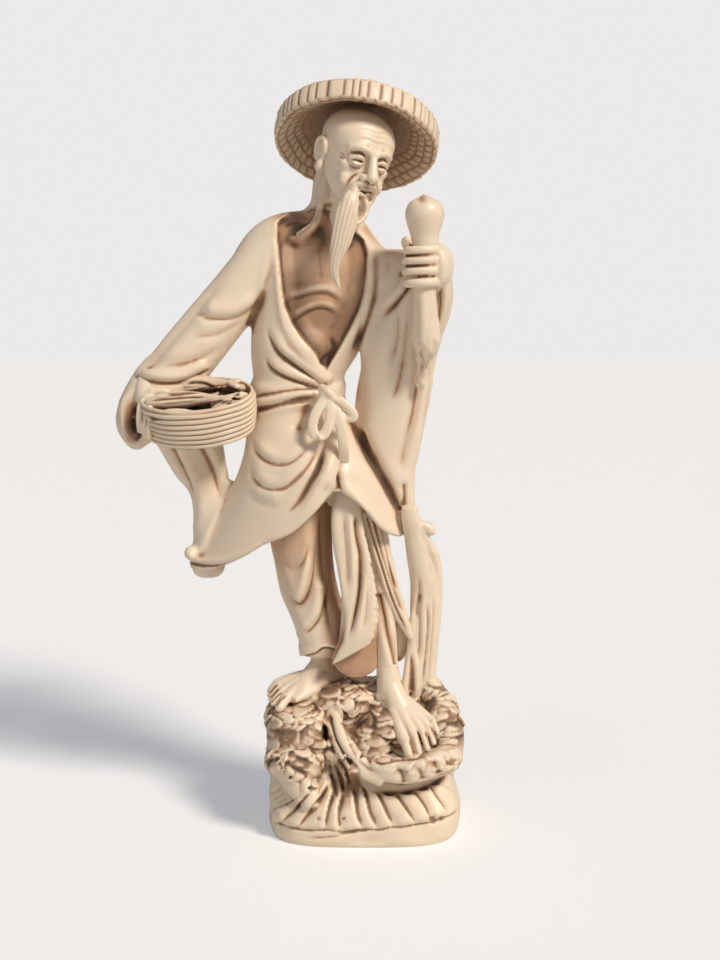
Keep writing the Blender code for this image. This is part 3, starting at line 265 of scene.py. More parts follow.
class Clay:
    """A fused skin. Strokes move its points along their normals and leave wash and painted shade in what they
    press; a stroke of no depth only darkens.
    """

    def __init__(self, forms, voxel, hollows=(), soften=4):
        self.voxel = voxel
        self.points, self.quads = fused(forms, voxel, hollows)
        self.wash = np.zeros(len(self.points))
        self.link()
        self.relax(soften)

    def link(self):
        edges = np.concatenate([self.quads[:, [k, (k + 1) % 4]] for k in range(4)]).astype(np.int64)
        size = len(self.points)
        keys = np.unique(edges.min(1) * size + edges.max(1))
        edges = np.stack([keys // size, keys % size], axis=1)
        self.ends = np.concatenate([edges, edges[:, ::-1]])
        self.count = np.maximum(np.bincount(self.ends[:, 0], minlength=len(self.points)), 1)

    def mean(self, values):
        """The mean of each point's neighbours."""
        values = np.asarray(values, float)
        if values.ndim == 1:
            return np.bincount(self.ends[:, 0], values[self.ends[:, 1]], len(values)) / self.count
        return np.stack([self.mean(values[:, axis]) for axis in range(values.shape[1])], axis=1)

    def relax(self, passes, share=0.5, where=None):
        for _ in range(passes):
            move = share * (self.mean(self.points) - self.points)
            self.points = self.points + (move if where is None else move * where[:, None])
        self.normals()

    def normals(self):
        corners = self.points[self.quads]
        face = np.cross(corners[:, 2] - corners[:, 0], corners[:, 3] - corners[:, 1])
        total = np.zeros_like(self.points)
        for k in range(4):
            for axis in range(3):
                total[:, axis] += np.bincount(self.quads[:, k], face[:, axis], len(self.points))
        self.normal = unit(total)

    def afresh(self):
        """Fuses the pressed skin again, so that stretched places get points of their own. Its wash and
        painted shade go.
        """
        self.__init__([(self.points, self.quads)], self.voxel, soften=1)

    def add_wash_and_shade(self, wash, rows=slice(None)):
        """Leaves at least so much wash and painted shade."""
        self.wash[rows] = np.maximum(self.wash[rows], wash)

    def push(self, rows, amount):
        self.points[rows] += amount[:, None] * self.normal[rows]
        self.normals()

    def facing(self, back=False):
        """How squarely each point faces the eye, or the rear, or the side that back names by -1 or 1."""
        if back is True:
            return step_up(self.normal[:, 1], 0.0, 0.35)
        if back:
            return step_up(back * self.normal[:, 0], 0.1, 0.5)
        return step_up(-(self.normal * unit(self.points - EYE)).sum(1), 0.02, 0.30)

    def places(self, back=False):
        """The points on the plane that strokes are drawn on: x = 0 for a side, else y = 0."""
        if back is True:
            return self.points[:, [0, 2]]
        return self.points[:, [1, 2]] if back else seen(self.points)

    def near(self, path, reach, back=False, within=None):
        """Rows of the points round a path, their distance, side and share of the way."""
        path = through(path, 6)
        places = self.places(back)
        box = ((places > path.min(0) - reach) & (places < path.max(0) + reach)).all(1)
        if within is not None:
            box &= within
        rows = np.nonzero(box)[0]
        return rows, *nearest(path, places[rows])

    def reached(self, path, reach, start, end, back, within):
        """As near, but the last is a stroke's strength, which fades over its first and last share and
        where the skin turns away. Side times distance is one value, positive on the left of travel."""
        rows, far, side, share = self.near(path, reach, back, within)
        fade = step_up(share, 0.0, max(start, 1e-3)) * step_up(1.0 - share, 0.0, max(end, 1e-3))
        return rows, far, far * side, fade * self.facing(back)[rows]

    def crease(self, path, width, depth, lip=0.0, wash=0.4, start=0.25, end=0.25, back=False, within=None):
        """A valley along a path that fades at its ends, with a raised lip to the left of travel,
        or to the right where lip is negative. A negative depth makes a ridge."""
        rows, far, across, fade = self.reached(path, 5.0 * width, start, end, back, within)
        valley = np.exp(-((far / width) ** 1.4))
        across = across * np.sign(lip if lip else 1.0)
        rise = np.exp(-(((across - 1.7 * width) / (1.3 * width)) ** 2))
        self.add_wash_and_shade(wash * fade * np.exp(-((far / (0.9 * width)) ** 2)), rows)
        self.push(rows, fade * depth * (abs(lip) * rise - valley))

    def fold(self, path, wide, high, deep=0.5, wash=0.3, start=0.3, end=0.3, back=False, within=None):
        """A rounded ledge of cloth on the left of the path that drops over it into a narrow valley."""
        rows, _, across, fade = self.reached(path, 3.4 * wide, start, end, back, within)
        across = across / wide
        ledge = np.exp(-(((across - 0.80) / 0.80) ** 2))
        valley = np.exp(-(((across + 0.24) / 0.36) ** 2))
        shade = np.exp(-(((across + 0.20) / 0.42) ** 2))
        self.add_wash_and_shade(wash * fade * shade, rows)
        self.push(rows, fade * (high * ledge - deep * valley))

    def lap(self, path, height, fade_over, edge=0.5, wash=0.5, start=0.05, end=0.05, back=False, within=None):
        """An edge of overlapping cloth: the left of the path stands up by height and sinks back over
        fade_over, with wash and painted shade under the edge. A negative height sinks the left instead."""
        rows, _, across, fade = self.reached(path, max(3.0 * fade_over, 4.0 * edge), start, end, back, within)
        up = 1.0 / (1.0 + np.exp(-across / (0.4 * edge))) * np.exp(-np.maximum(across, 0.0) / fade_over)
        under = np.exp(-(((across + 0.8 * edge) / (1.1 * edge)) ** 2))
        self.add_wash_and_shade(wash * fade * under, rows)
        self.push(rows, fade * height * (up - 0.25 * under))

    def draw(self, table, back=False, within=None):
        """Strokes from a table: the kind of each, its numbers in order, a bar and its path."""
        for kind, sizes, path in re.findall(r"([a-z]+)([^a-z|]*)\|([^a-z]*)", re.sub("#.*", "", table)):
            getattr(self, kind)(numbers(path), *map(float, sizes.split()), back=back, within=within)

    def dab(self, spots):
        """Soft bosses or dents: each spot is (x, z, half width, half height, height, tilt in degrees)."""
        places = self.places()
        facing = self.facing()
        for x, z, wide, high, lift, tilt in spots:
            c, s = math.cos(math.radians(tilt)), math.sin(math.radians(tilt))
            dx, dz = places[:, 0] - x, places[:, 1] - z
            r = ((dx * c + dz * s) / wide) ** 2 + ((dz * c - dx * s) / high) ** 2
            rows = np.nonzero(r < 6.0)[0]
            self.push(rows, lift * facing[rows] * np.exp(-r[rows]))

    def cavity(self, passes, depth):
        """How far each point lies below the skin smoothed so many times, as a share of depth."""
        smooth = self.points
        for _ in range(passes):
            smooth = smooth + 0.6 * (self.mean(smooth) - smooth)
        below = ((smooth - self.points) * self.normal).sum(1)
        return np.clip(below / depth, -1.0, 1.0)


# Robe and sleeves


TORSO = numbers("""149.5,-38.5,-7,-12.5,12 158.6,-38.3,-7.3,-12.5,12 167.2,-39,-2.4,-13.5,12.5
    175.9,-38.7,2,-14,13 186.1,-37.2,6.5,-14.5,13.5 195.8,-35.5,9,-13.5,12.5 201.9,-34.5,8,-11.5,11
    206.5,-32.5,4.6,-9.5,9.5 209.6,-28,2.4,-8.5,8.5 212.6,-22,0.2,-7.5,8 214.7,-17,-1.5,-6.5,7""")
HEM = numbers("""-9.5,-20,122.9 0.3,-21,117.2 7.1,-17,109 13.6,-9,105.2 15.8,2,107.1 8,15,110.9 -16,20,104.6
    -42,16,97 -61.5,3,94.5 -58,-5,92 -46,-13,97 -34.6,-18,104 -24.9,-21,108.4 -15.5,-21.5,116.6""")
HEM_SHARES = numbers("0,0.06,0.12,0.19,0.27,0.38,0.5,0.62,0.72,0.765,0.82,0.87,0.915,0.957")[0]
SKIRT_WALL = 2.6
RIGHT_SHOULDER = np.array((-33.0, 0.0, 201.0))
RIGHT_WRIST = np.array((-76.0, -6.0, 148.0))
LEFT_SLEEVE = numbers("""203.2,6,15.5,-8,4.5 199.5,4.5,24,-14,7.5 191.1,3.6,30,-19,8.5 181.8,2.4,29.4,-18,8
    172.5,0.6,26.2,-16,7 162.3,-1.2,24.4,-14.5,6 152.1,-3,23.2,-13,6 141.8,-3,21.2,-12,6 131.6,1,18.4,-11,4
    122.3,7,17.6,-10.5,1 113.3,11.4,17.9,-9.5,-3""")


def hem_ring():
    """The skirt's hem on a closed smooth curve, from the front round by the viewer's right."""
    looped = np.concatenate([HEM[-2:], HEM, HEM[:3]])
    places = np.concatenate([HEM_SHARES[-2:] - 1.0, HEM_SHARES, HEM_SHARES[:3] + 1.0])
    fine, fine_places = through(looped, 12), through(places[:, None], 12)[:, 0]
    wanted = np.arange(AROUND) / AROUND
    return np.stack([np.interp(wanted, fine_places, fine[:, axis]) for axis in range(3)], axis=1)


def skirt():
    """From inside the waist to the hem, round its edge and back up inside to a roof."""
    hem = hem_ring()
    waist_hips_thighs = [oval(row[:3], (1, 0, 0), (0, -1, 0), *row[3:]) for row in numbers(
        "-22.5,0,155,14.5,11.5 -22,-1,142,18.5,15 -18,-3,128,25.5,18")]
    rings = through([*waist_hips_thighs, hem], 10)
    inward = hem.mean(axis=0) - hem
    inward[:, 2] = 0.0
    inward = unit(inward)
    lip = hem + SKIRT_WALL * inward
    upper = rings[-8] + 1.3 * SKIRT_WALL * inward
    slope = (upper - lip) / (upper - lip)[:, 2:].clip(1.0)
    edge = hem + 0.4 * SKIRT_WALL * inward - (0, 0, 0.8)
    return skin([*rings, edge, lip, lip + 9.0 * slope])


def right_sleeve_forms():
    """Upper arm to cuff, and the sleeve's loose end that hangs behind and below the basket."""
    reach = RIGHT_WRIST - RIGHT_SHOULDER
    stops = numbers("""-0.12,-1,8,8.5 0.02,0,9.1,9.5 0.17,0.6,9.4,9.5 0.42,1.2,9.6,9.5 0.68,1,9.9,9.5
        0.88,0,9.4,9.3 1.02,-1.5,7.6,8.2""")
    arm = [(*(RIGHT_SHOULDER + share * reach + np.array((bow, 0, bow))), wide, deep)
           for share, bow, wide, deep in stops]
    cuff = numbers("""-68.5,-3,163,7,8.4 -73.2,-4.6,155.5,8,8.8 -77,-6.4,147,7.9,8.8 -76.6,-7,140,6.2,7.2
        -75,-7,136.6,3.6,5""")
    drape = numbers("""151.5,-72,-56,-11,2 142.2,-74,-51.5,-9,4.6 135.2,-72.2,-49,-6.5,6.4
        124.8,-66.6,-48,-5,7.4 118,-61.6,-47,-4.5,7.8 106.2,-60.4,-47,-4.5,8 97,-60.4,-48.4,-4.5,8
        90.6,-60.6,-49.6,-3.5,7.5 88.6,-58.4,-51.8,-1.5,5.5""")
    return [limb(arm, (1, 0, -1), 2.2), limb(cuff, (1, 0, 0)), levels(drape, 2.2),
            ball(RIGHT_SHOULDER + (2.0, 0.0, 1.6), (8.5, 8.5, 8.2))]


def neck_forms():
    """Neck, collar bones and the two cords from behind the ears to the breastbone."""
    neck = numbers("-9.5,1,204,11,8 -8.5,0,210,8.6,7.6 -7.5,-1,216,7.2,7.2 -5.6,-2.5,223,6.8,7")
    near_cord = numbers("""-12.2,-3,228.9,1.4,2.2 -13.5,-4,223.6,1.8,2.2 -13.9,-6,218.2,2.1,2.2
        -14.8,-8,213.8,2.3,2.2 -17.1,-10,210.1,2.3,2.2 -20.8,-10,207.4,1.9,2.2 -24.3,-8,206.2,1,2.2""")
    far_cord = numbers("""-10.2,-1,239,1,1.4 -13,0.6,233.2,2,2.6 -14.8,1,225.9,2.6,3.2 -15.4,0,220.5,2.6,3.4
        -16.4,0,216.5,2.8,3.4 -19.9,1,213.5,2.8,3.4 -25.4,2,212.2,2,3""")
    return [limb(neck, (1, 0, 0)), limb(near_cord, (1, 0, 1)), limb(far_cord, (1, 0, 1)),
            finger(numbers("1,-6,222 -1.5,-9,214 -6,-11.2,206"), 1.5, 1.0)]


def yoke():
    """The robe over the viewer's left shoulder, up to the neck."""
    stops = numbers("""-45,0,190.5,3.4,5.4 -41,0,197.2,5.2,6.6 -36.4,0,203.4,6,7.2 -31.5,-0.4,207.6,6.2,7.6
        -26,-0.4,210,5.8,7.6 -20,0,210.4,5.6,7.4 -14,1,210,5,6.6""")
    return limb(stops, (0, 0, 1), 2.2)


def sash_forms():
    """The sash: two flat turns of cloth round the waist that draw together at the knot."""
    forms = []
    for low, high, proud in ((150.2, 153.4, 1.0), (154.0, 158.4, 0.7)):
        edge = (-38.9, -6.6, -12.4 - proud, 12.0 + proud)
        middle = (0.5 * (low + high), -39.8, -6.0, -13.0 - proud, 13.0 + proud)
        points, faces = levels([(low, *edge), middle, (high, *edge)], 2.3, 3)
        x, front = points[:, 0], step_up(-points[:, 1], 6.0, 13.0)
        points[:, 2] += front * (-1.4 - 0.075 * (x + 22.0) - 0.30 * (low - 152.0) * (x + 39.0) / 28.0)
        forms.append((points, faces))
    return forms


CHEST = numbers("""-30.1,206.4 -29.8,198.9 -28.9,190.1 -27.6,183.6 -24.8,177.5 -20.7,171.3 -15.9,165.4
    -12.8,161.6 -11.1,164.7 -7.6,170.2 -4.2,176.1 -1.1,182.3 0.7,188.7 1.7,195.9 1.7,201.6 -0,206.4 -4.8,210.4
    -8.9,214.8 -15,217.5 -19.8,217.5 -25.3,215.8 -29,212.8""")


def inside(path, places):
    """True for places inside a closed path, by crossings."""
    x, z = places[:, 0], places[:, 1]
    hits = np.zeros(len(places), int)
    for (x0, z0), (x1, z1) in zip(path, np.roll(path, -1, axis=0)):
        crossing = (z0 > z) != (z1 > z)
        hits += crossing & (x < (x1 - x0) * (z - z0) / ((z1 - z0) or 1e-9) + x0)
    return hits % 2 == 1


def chest_rows(clay):
    """The points of the bare chest, and how far in from the robe's two edges each lies."""
    places = clay.places()
    rows = np.nonzero(inside(CHEST, places) & (clay.points[:, 1] < -2.0) & (clay.facing() > 0.0))[0]
    far, _, _ = nearest(CHEST[:16], places[rows])
    return rows, far


def open_chest(clay):
    """Sinks the skin between the two edges of the robe below the cloth."""
    rows, far = chest_rows(clay)
    down = clay.places()[rows, 1]
    depth = 2.8 + 2.8 * step_up(far, 0.0, 7.0) + 1.8 * step_up(190.0 - down, 0.0, 14.0)
    depth *= 0.30 + 0.70 * step_up(213.0 - down, 0.0, 9.0)
    move = np.zeros_like(clay.points[rows])
    move[:, 1] = depth * step_up(far, 0.0, 0.7)
    clay.points[rows] += move
    clay.normals()


def garment(voxel):
    """Everything that is cut apart later into the robe and the two sleeves, as one skin."""
    lapel = numbers("""6.6,-7.6,202.5,2.4,3 6,-8,199,4,4.4 4.2,-8.6,191,4.8,4.8 2.6,-8.4,179,4,4.2
        1.2,-6.6,168,2.6,3 0.2,-4,160,1.2,1.4""")
    cuff_by_the_fist = numbers("""22.3,-19,205.5,0.8,1.4 23.3,-18.6,203.9,2,3 25,-18,200,3,4.8
        25.8,-16.6,195.1,3.2,5.6 26,-14.5,188.9,3.4,5.8 24.8,-12,180.8,3.4,5.2 22.3,-9,172,2.4,3.4""")
    rolled_end = numbers("""-46.9,0,123.5,0.8,1.6 -50,-1.4,115.6,2.2,3.2 -53.6,-2.2,107.2,2.8,3.4
        -56.4,-2.6,100.5,2.2,2.6 -58.3,-2,96.5,0.8,1""")
    clay = Clay([levels(TORSO), skirt(), levels(LEFT_SLEEVE, 2.2), ball((8.0, 0.0, 196.0), (6.8, 8.0, 6.8)),
                 *right_sleeve_forms(), *neck_forms(), *sash_forms(), yoke(),
                 ball((-60.6, -3.0, 98.1), (2.6, 4.0, 2.6)),
                 *[limb(rows, (1, 0, 0)) for rows in (lapel, cuff_by_the_fist, rolled_end)]], voxel, soften=9)
    open_chest(clay)
    clay.afresh()
    return clay


def carve_chest(clay):
    """Breastbone, ribs and belly, and the hollows over the collar bones."""
    rows, far = chest_rows(clay)
    down = clay.places()[rows, 1]
    worked = 0.46 + 0.28 * np.exp(-((far - 0.6) / 2.4) ** 2) + 0.20 * step_up(196.0 - down, 0.0, 30.0)
    worked *= step_up(218.5 - down, 0.0, 6.0)
    clay.add_wash_and_shade(worked, rows)
    skin_only = np.zeros(len(clay.points), bool)
    skin_only[rows] = True
    clay.draw("""
    fold 1.9 0.7 0.35 0.42 | -28.6,184.3 -25.5,186.4 -21.3,187.7 -17.2,188.7 -12.7,188.7 -9,186.7 -6.2,184
    fold 1.9 0.8 0.35 0.42 | -26.2,177.5 -23.1,180.2 -19,182.6 -14.5,183.6 -11,182.3 -8.3,179.2
    """, within=skin_only)
    clay.dab([(-15.6, 171.3, 4.4, 4.4, 1.5, 0.0)])
    clay.draw("""
    crease 1.2 1.2 0.3 0.9 0.3 0.05 | -12.1,174.7 -10.7,170.6 -12.1,167.5 -15.2,163.7
    crease 2.4 0.6 0.3 0.2 | -15.8,206.4 -15.1,198.9 -14.4,191.5
    """, within=skin_only)
    # Hollow over the viewer's left collar bone, and the neck's cord that bounds it
    clay.dab([(-24.2, 211.6, 4.2, 3.0, -2.4, 12.0), (-14.0, 206.0, 2.6, 4.0, -0.9, 0.0)])
    clay.draw("""
    crease 1.6 1 0 0.55 0.1 0.3 | -13,219.8 -13.3,215.1 -14.7,210.4 -17.8,207 -21.9,205
    """)
    x, z = clay.places().T
    hollows = numbers("-24.4,212.8,5.6,3.4,1.1 -13.8,208,3.6,5,0.85 -26.5,201,3,4,0.55 -4,200,4,8,0.55")
    for x0, z0, wide, high, share in hollows:
        spot = share * np.exp(-(((x - x0) / wide) ** 2 + ((z - z0) / high) ** 2) ** 1.4)
        clay.add_wash_and_shade(spot * (clay.points[:, 1] < -1.0) * clay.facing())
    clay.draw("""
    crease 1.3 -0.9 0 0 | -30.1,215.1 -30.1,211.1 -30.5,206.4 -30.2,201.3 -29.5,193.5 -28.9,185 -27.6,177.8
      -24.9,172.7 -20.8,167.8 -15.9,162.7 -11.5,157.5
    crease 1.7 -1.1 0 0 | 0.7,208.7 2.4,204.3 2.4,198.9 2,192.5 0.7,185 -3.1,176.4 -7.3,169.6 -11.1,164.7
    crease 1.2 1.1 0 0.46 0.12 0.3 | 2.4,204 3.7,200.3 4.1,192.5 3.1,185 -0,176.4 -3.6,168.9 -7.3,162.3
    """)


def carve_front(clay):
    """The folds that the photograph shows, each drawn where it is seen from in front."""
    # Right sleeve
    clay.draw("""
    fold 3.2 1.3 0.8 0.14 0.25 0.3 | -59.6,182.9 -57.5,181.6 -53.8,180.5 -48.9,180.2 -44.1,180.9 -40,182.6
      -36.8,185 -34.4,188.7
    fold 3 0.5 0.4 0.1 0.3 0.3 | -61.4,175.7 -57.3,174.4 -52.5,174.7 -47.6,176.4 -42.7,179.5 -39.3,182.3
    fold 3.4 0.6 0.5 0.08 0.3 0.3 | -74,165.4 -69.6,164.4 -64.4,164.7 -58.8,166.1 -53.2,168.5 -47,172
    fold 2.2 1.3 1 0.35 0.1 0.1 | -80,161.3 -77.3,159.2 -72.1,158.2 -66.9,157.8 -61.4,158.8 -57.2,160.9
      -52.6,163
    crease 1.6 1.1 0 0.16 0.4 0.02 | -33.7,191.5 -35.1,187 -37.2,182.6 -39,178.8 -40,174.4
    """)
    # The cuff's mouth beside the basket, and its rolled edge
    mouth = np.array((-80.2, 144.2))
    clay.dab([(*mouth, 3.4, 6.4, -4.4, -8.0), (*(mouth + (0.4, 0.0)), 2.4, 5.4, -2.6, -8.0)])
    clay.draw("""
    crease 1.2 -1 0 0 | -79.1,156.4 -82.6,152.6 -84.5,147.4 -84.3,141.1 -81.9,137.2 -77.8,135.1 -73.3,134.4
    """)
    x, z = (clay.places() - mouth).T
    # Painted shade: the inside of the cuff's mouth is darkened
    clay.add_wash_and_shade(np.exp(-((x / 3.7) ** 2 + (z / 7.0) ** 2) ** 2) * (clay.points[:, 1] < 1.0))
    # Waist
    clay.draw("""
    fold 2.2 1.2 1.1 0.42 0.35 0.05 | -33.1,178.5 -32.5,174.7 -31.1,171.3 -28.7,167.8 -25.3,165.1 -21.1,162
      -17,159.2 -12.2,156.4
    fold 1.9 1 1 0.42 0.3 0.05 | -34.2,167.8 -32.5,163.7 -29.1,160.9 -24.3,158.8 -19.1,157.1 -13.9,155.7
    # The sash's two edges, which draw together at the knot
    fold 1.9 1 0.7 0.34 0.15 0.05 | -16,154.9 -20.8,155 -26.4,154.3 -31.9,153.3 -37.5,152.3
    crease 1 0.9 -0.6 0.45 0.05 0.15 | -37.6,148.1 -32,149.1 -26.4,150.5 -20.8,151.9 -15.6,152.9
    # Skirt
    crease 3.4 1.6 0 0.22 | -18.1,152.3 -20.5,147.7 -22.3,143.5 -23.7,139
    fold 2.8 1 0.6 0.2 0.25 0.2 | -38.7,139 -37.3,134.1 -34.2,130.9 -30.1,129.5 -25.5,130.2 -21.6,133.4
      -19.2,137.6
    fold 2.8 0.9 0.6 0.2 0.25 0.2 | -39.1,131.3 -38.8,126.3 -37.4,123.5 -34.7,121.4 -31.5,120.7 -27.7,121.4
      -23.8,124.6 -20.3,128.4 -17.5,133 -15.3,137.9
    fold 4 0.7 0.3 0 | -41,121.4 -37.9,117.5 -33,115.4 -27.4,115.7
    crease 1.7 1.9 0.9 0.42 0.35 0.4 | -12.2,140.7 -13.3,136.5 -14.7,132.3 -16.1,127.7 -18.2,123.5 -20.7,118.9
      -23.1,115.4 -26,112.5 -29.5,110
    crease 1 0.6 0 0.62 0.4 0.4 | -13.3,135.1 -15,130.2 -17.1,125.3 -19.6,121
    crease 1.9 -1.5 0 0 | -9.7,146 -8.4,141.1 -7.7,136.5 -8,131.3 -9.1,126.3 -10.5,121.4
    crease 1.1 2.2 0 0.7 0.15 0.02 | -9,147.4 -6.6,141.8 -6.3,136.2 -7.3,131.3 -8.4,127 -8.8,122.8 -9.1,118.5
    crease 2.2 0.9 0.5 0.08 | -4.2,144.6 -0.7,136.9 2.8,129.9 7,122.1 10.5,115.7
    crease 3 0.7 0.3 0 | -4.2,127 -0.7,121.4 3.5,116.4 8.4,111.4
    # Loose end of the right sleeve
    crease 1.6 1.3 0.8 0.16 0.05 0.3 | -67,135.5 -66.3,133.4 -64,128.4 -61.6,123.9 -60.3,119.3 -59.6,114.3
    crease 1.6 1.4 0.8 0.2 0.05 0.4 | -57.2,136.2 -56.5,134.4 -53.8,129.1 -51.8,124.2 -50.8,119.3 -50.5,115.4
    crease 2.6 -0.6 0 0 | -62.9,129.9 -60.2,124.9 -58.2,118.5 -56.9,109.3
    # Edge of the skirt's tip over the sleeve's rolled end
    fold 1.5 0.6 1 0.35 0.05 0.3 | -62.8,95.4 -61,94.3 -56.8,93.4 -49.4,93.4 -44.4,95 -38.4,98.2 -33.8,102.5
    """)


def carve_left_sleeve(clay):
    """The hanging sleeve by the staff, its cuff and where it passes behind the skirt."""
    # The cloth between the lapel and the sleeve is evened out before its folds are drawn
    even = inside(numbers("""2.7,203 8.9,204.3 17.1,203 20.6,186 19.5,142.8 2.8,141.1 0.7,170.6
        4.1,186"""), clay.places()) * clay.facing()
    for _ in range(6):
        even = clay.mean(even)
    clay.relax(30, 0.5, even)
    # A stroke of no depth: painted shade on the sleeve's inner side, by the robe
    clay.draw("""
    crease 1.6 1.7 -0.7 0.66 0.08 0.55 | 16.5,192.5 13.7,188.4 10.6,184.6 7.9,181.6 4.8,177.8
    crease 1.7 1 0.4 0.16 0.2 0.5 | 13.7,198.3 11.6,192.8 8.9,187.7 5.8,182.9
    crease 1.8 0.5 0 0.06 0.4 0.5 | 8.9,201.6 7.9,196.9 6.8,192.1
    crease 2.4 0.5 0 0.42 0.15 0.4 | -0,213.1 3,208.7 7.2,205.4 12.3,203
    crease 1.7 0.7 0.5 0.15 0.35 0.3 | 11,187.4 11.7,179.9 11.4,172 9.7,166.5 6.6,162.7
    crease 1.8 0.8 0.5 0.22 0.3 0.2 | 15.1,187.4 14.8,179.2 14.1,170.6 13.1,162 11.1,154.3 7.6,148.8
    crease 2.2 0.8 0.6 0.25 0.1 0.2 | 19.7,162 18.7,154.3 17.4,146.3 15.3,138.3 13.6,130.6 14,124.2
    crease 1.8 -0.7 0 0 | 22.1,164.7 21.8,154.3 20.5,144.6 18.1,134.1 16.4,124.9
    crease 1.4 1.4 0 0.4 0.3 0.02 | 14,123.5 14.4,118.5 13.7,114.3
    crease 2 0 0 0.46 0.3 0.3 | -1.1,168.9 -2.4,161.3 -2.4,154.3 -1.1,147.4
    # Cuff round the wrist: its hollow beside the staff
    crease 1.5 1.2 0 0.45 0.1 0.3 | 25,190.8 25.8,186 25.6,179.9 24.5,174.4
    # Where the sleeve hangs behind the skirt
    crease 1.4 1.6 0 0.6 0.3 0.02 | -2.1,148.1 -1.7,144.6 -1.1,140.4 0.7,134.4 4.5,127.4 7.4,122.4 10.2,117.1
      13.3,111.8
    """)
    # Painted shade on the sleeve's inner side, between it and the robe
    x, z = clay.places().T
    inner = 0.20 * step_up(4.0 - x, 0.0, 4.0) * step_up(z, 138.0, 146.0) * step_up(170.0 - z, 0.0, 12.0)
    clay.add_wash_and_shade(inner * step_up(x, -4.0, -2.6) * clay.facing())


def carve_back(clay):
    """Folds that the photograph doesn't show: from the shoulders to the sash, and the skirt's pleats."""
    clay.draw("""
    fold 1.9 0.9 0.7 0.34 0.15 0.15 | 5,204.5 1,209.6 -8,212.4 -17,212 -26,208.6
    crease 3.2 1.1 0.6 0.1 0.4 0.35 | -31,203 -28,190 -24,177 -21,163
    crease 2.6 1.3 0.6 0.16 0.4 0.35 | -38,190 -35,180 -30,169 -27,161
    crease 3 1.3 0.6 0.14 0.4 0.35 | 3,201 -1,188 -8,175 -13,163
    crease 3.4 0.7 0.6 0.06 0.4 0.35 | -14,190 -16,178 -18,164
    crease 2.2 0.9 0.6 0.14 0.4 0.35 | -5,178 -9,170 -11,162
    """, back=True)
    for x0, x1, top, low, width, depth, wash in numbers("""-34,-54,146,101,3,1.7,0.2
        -30,-43,144,118,2.4,1.1,0.1 -27,-37,147,103,3.4,1.5,0.16 -22,-25,141,116,2.4,0.9,0.06
        -18,-18,147,106,3.2,1.7,0.2 -12,-8,145,114,2.6,1,0.1 -8,4,146,112,3,1.5,0.18"""):
        middle = 0.5 * (top + low)
        path = [(x0, top), (0.55 * x0 + 0.45 * x1, middle + 5.0),
                (0.3 * x0 + 0.7 * x1, middle - 8.0), (x1, low)]
        clay.crease(path, width, depth, 0.7, wash, 0.15, 0.35, back=True)
    clay.draw("""
    fold 3.6 1 0.6 0.12 | -46,193 -52,178 -64,166
    fold 3.6 1 0.6 0.12 | -58,184 -62,170 -72,157
    fold 3.6 1 0.6 0.12 | -68,172 -71,160 -80,148
    crease 2.6 1.2 0.6 0.14 0.2 0.4 | -67,142 -63,125 -58,104
    crease 2.6 1.2 0.6 0.14 0.2 0.4 | -58,140 -56,124 -54,108
    crease 3 1.3 0.6 0.12 0.3 0.3 | 21,194 19,178 13,160 10,146
    crease 3 0.9 0.6 0.12 0.3 0.3 | 11,190 10,174 5,157
    crease 3 1.2 0.6 0.12 0.3 0.3 | 23,174 20,158 17,136 16,120
    """, back=True)


def carve_sides(clay):
    """Folds down the outer faces of both sleeves, drawn on the plane x = 0 as (y, z)."""
    clay.draw("""
    crease 2.4 1 0.6 0.12 0.35 0.2 | -9,195 -11,180 -9.5,160 -7.5,138
    crease 3 1.2 0.6 0.14 0.35 0.2 | -1,198 -3,180 -4,158 -5,132
    crease 2.6 1 0.6 0.12 0.35 0.2 | 5,190 3,172 0,150 -1.5,128
    crease 2 0.8 0.6 0.1 0.35 0.2 | -14,190 -14.5,178 -13,166
    """, back=1.0, within=clay.points[:, 0] > 4.0)
    clay.draw("""
    crease 2.6 1 0.6 0.1 0.35 0.2 | -7,198 -10,184 -11,168 -12,156
    crease 3 1.1 0.6 0.12 0.35 0.2 | 2,200 0,184 -2,168 -4,154
    crease 2.4 0.9 0.6 0.1 0.35 0.2 | 6,188 5,172 3,156
    crease 2.4 1.2 0.6 0.14 0.35 0.2 | -1,140 0,124 1,106
    crease 2.2 0.9 0.6 0.1 0.35 0.2 | -9,152 -12,144 -11,137
    """, back=-1.0, within=clay.points[:, 0] < -40.0)


def carve_garment(clay):
    carve_chest(clay)
    carve_front(clay)
    carve_left_sleeve(clay)
    carve_back(clay)
    carve_sides(clay)
    clay.relax(1)
    return clay


# The three castings of the garment


LEFT_WALL = numbers("80,-62 90,-60 100,-58 118,-50 135,-45 150,-42 171,-39 185,-36.5 200,-34.5 216,-33")
RIGHT_WALL = numbers("80,20 105,16 113,13 122,8.5 131,4 142,-1.6 155,-4 168,-2 178,0.8 190,3.4 203,4.4 216,7")


def castings(clay):
    """The garment's quads by casting: the robe, and a sleeve beyond each wall."""
    middle = clay.points[clay.quads].mean(axis=1)
    left = middle[:, 0] < np.interp(middle[:, 2], *np.transpose(LEFT_WALL))
    right = middle[:, 0] > np.interp(middle[:, 2], *np.transpose(RIGHT_WALL))
    return {"robe": ~left & ~right, "right_sleeve": left, "left_sleeve": right & ~left}


# Legs, feet and the front wrap


RIGHT_TROUSER = numbers("""61.4,-22.6,-7.4,-8,9 64,-23.2,-6.4,-9,10 67,-23.2,-6,-9.4,10.4 74.9,-26,-7,-10,11
    83.7,-29.5,-9.2,-11,11.5 94.6,-31.5,-10.8,-12,12 105.6,-33.5,-11.2,-12,12 118,-33,-10.8,-10.5,11""")
LEFT_TROUSER = numbers("""58.5,2,13.5,-3,6 60.4,0.5,15,-4.5,8 64.4,-0.5,16.6,-5,8.5 68.4,-1,17.4,-5,9
    77.1,-2,14.2,-6,9 84.4,-3,11.4,-7.5,8.5 94.6,-5,9.6,-8.5,8 104.1,-7,8.4,-8.5,8 118,-8,8,-8,8""")
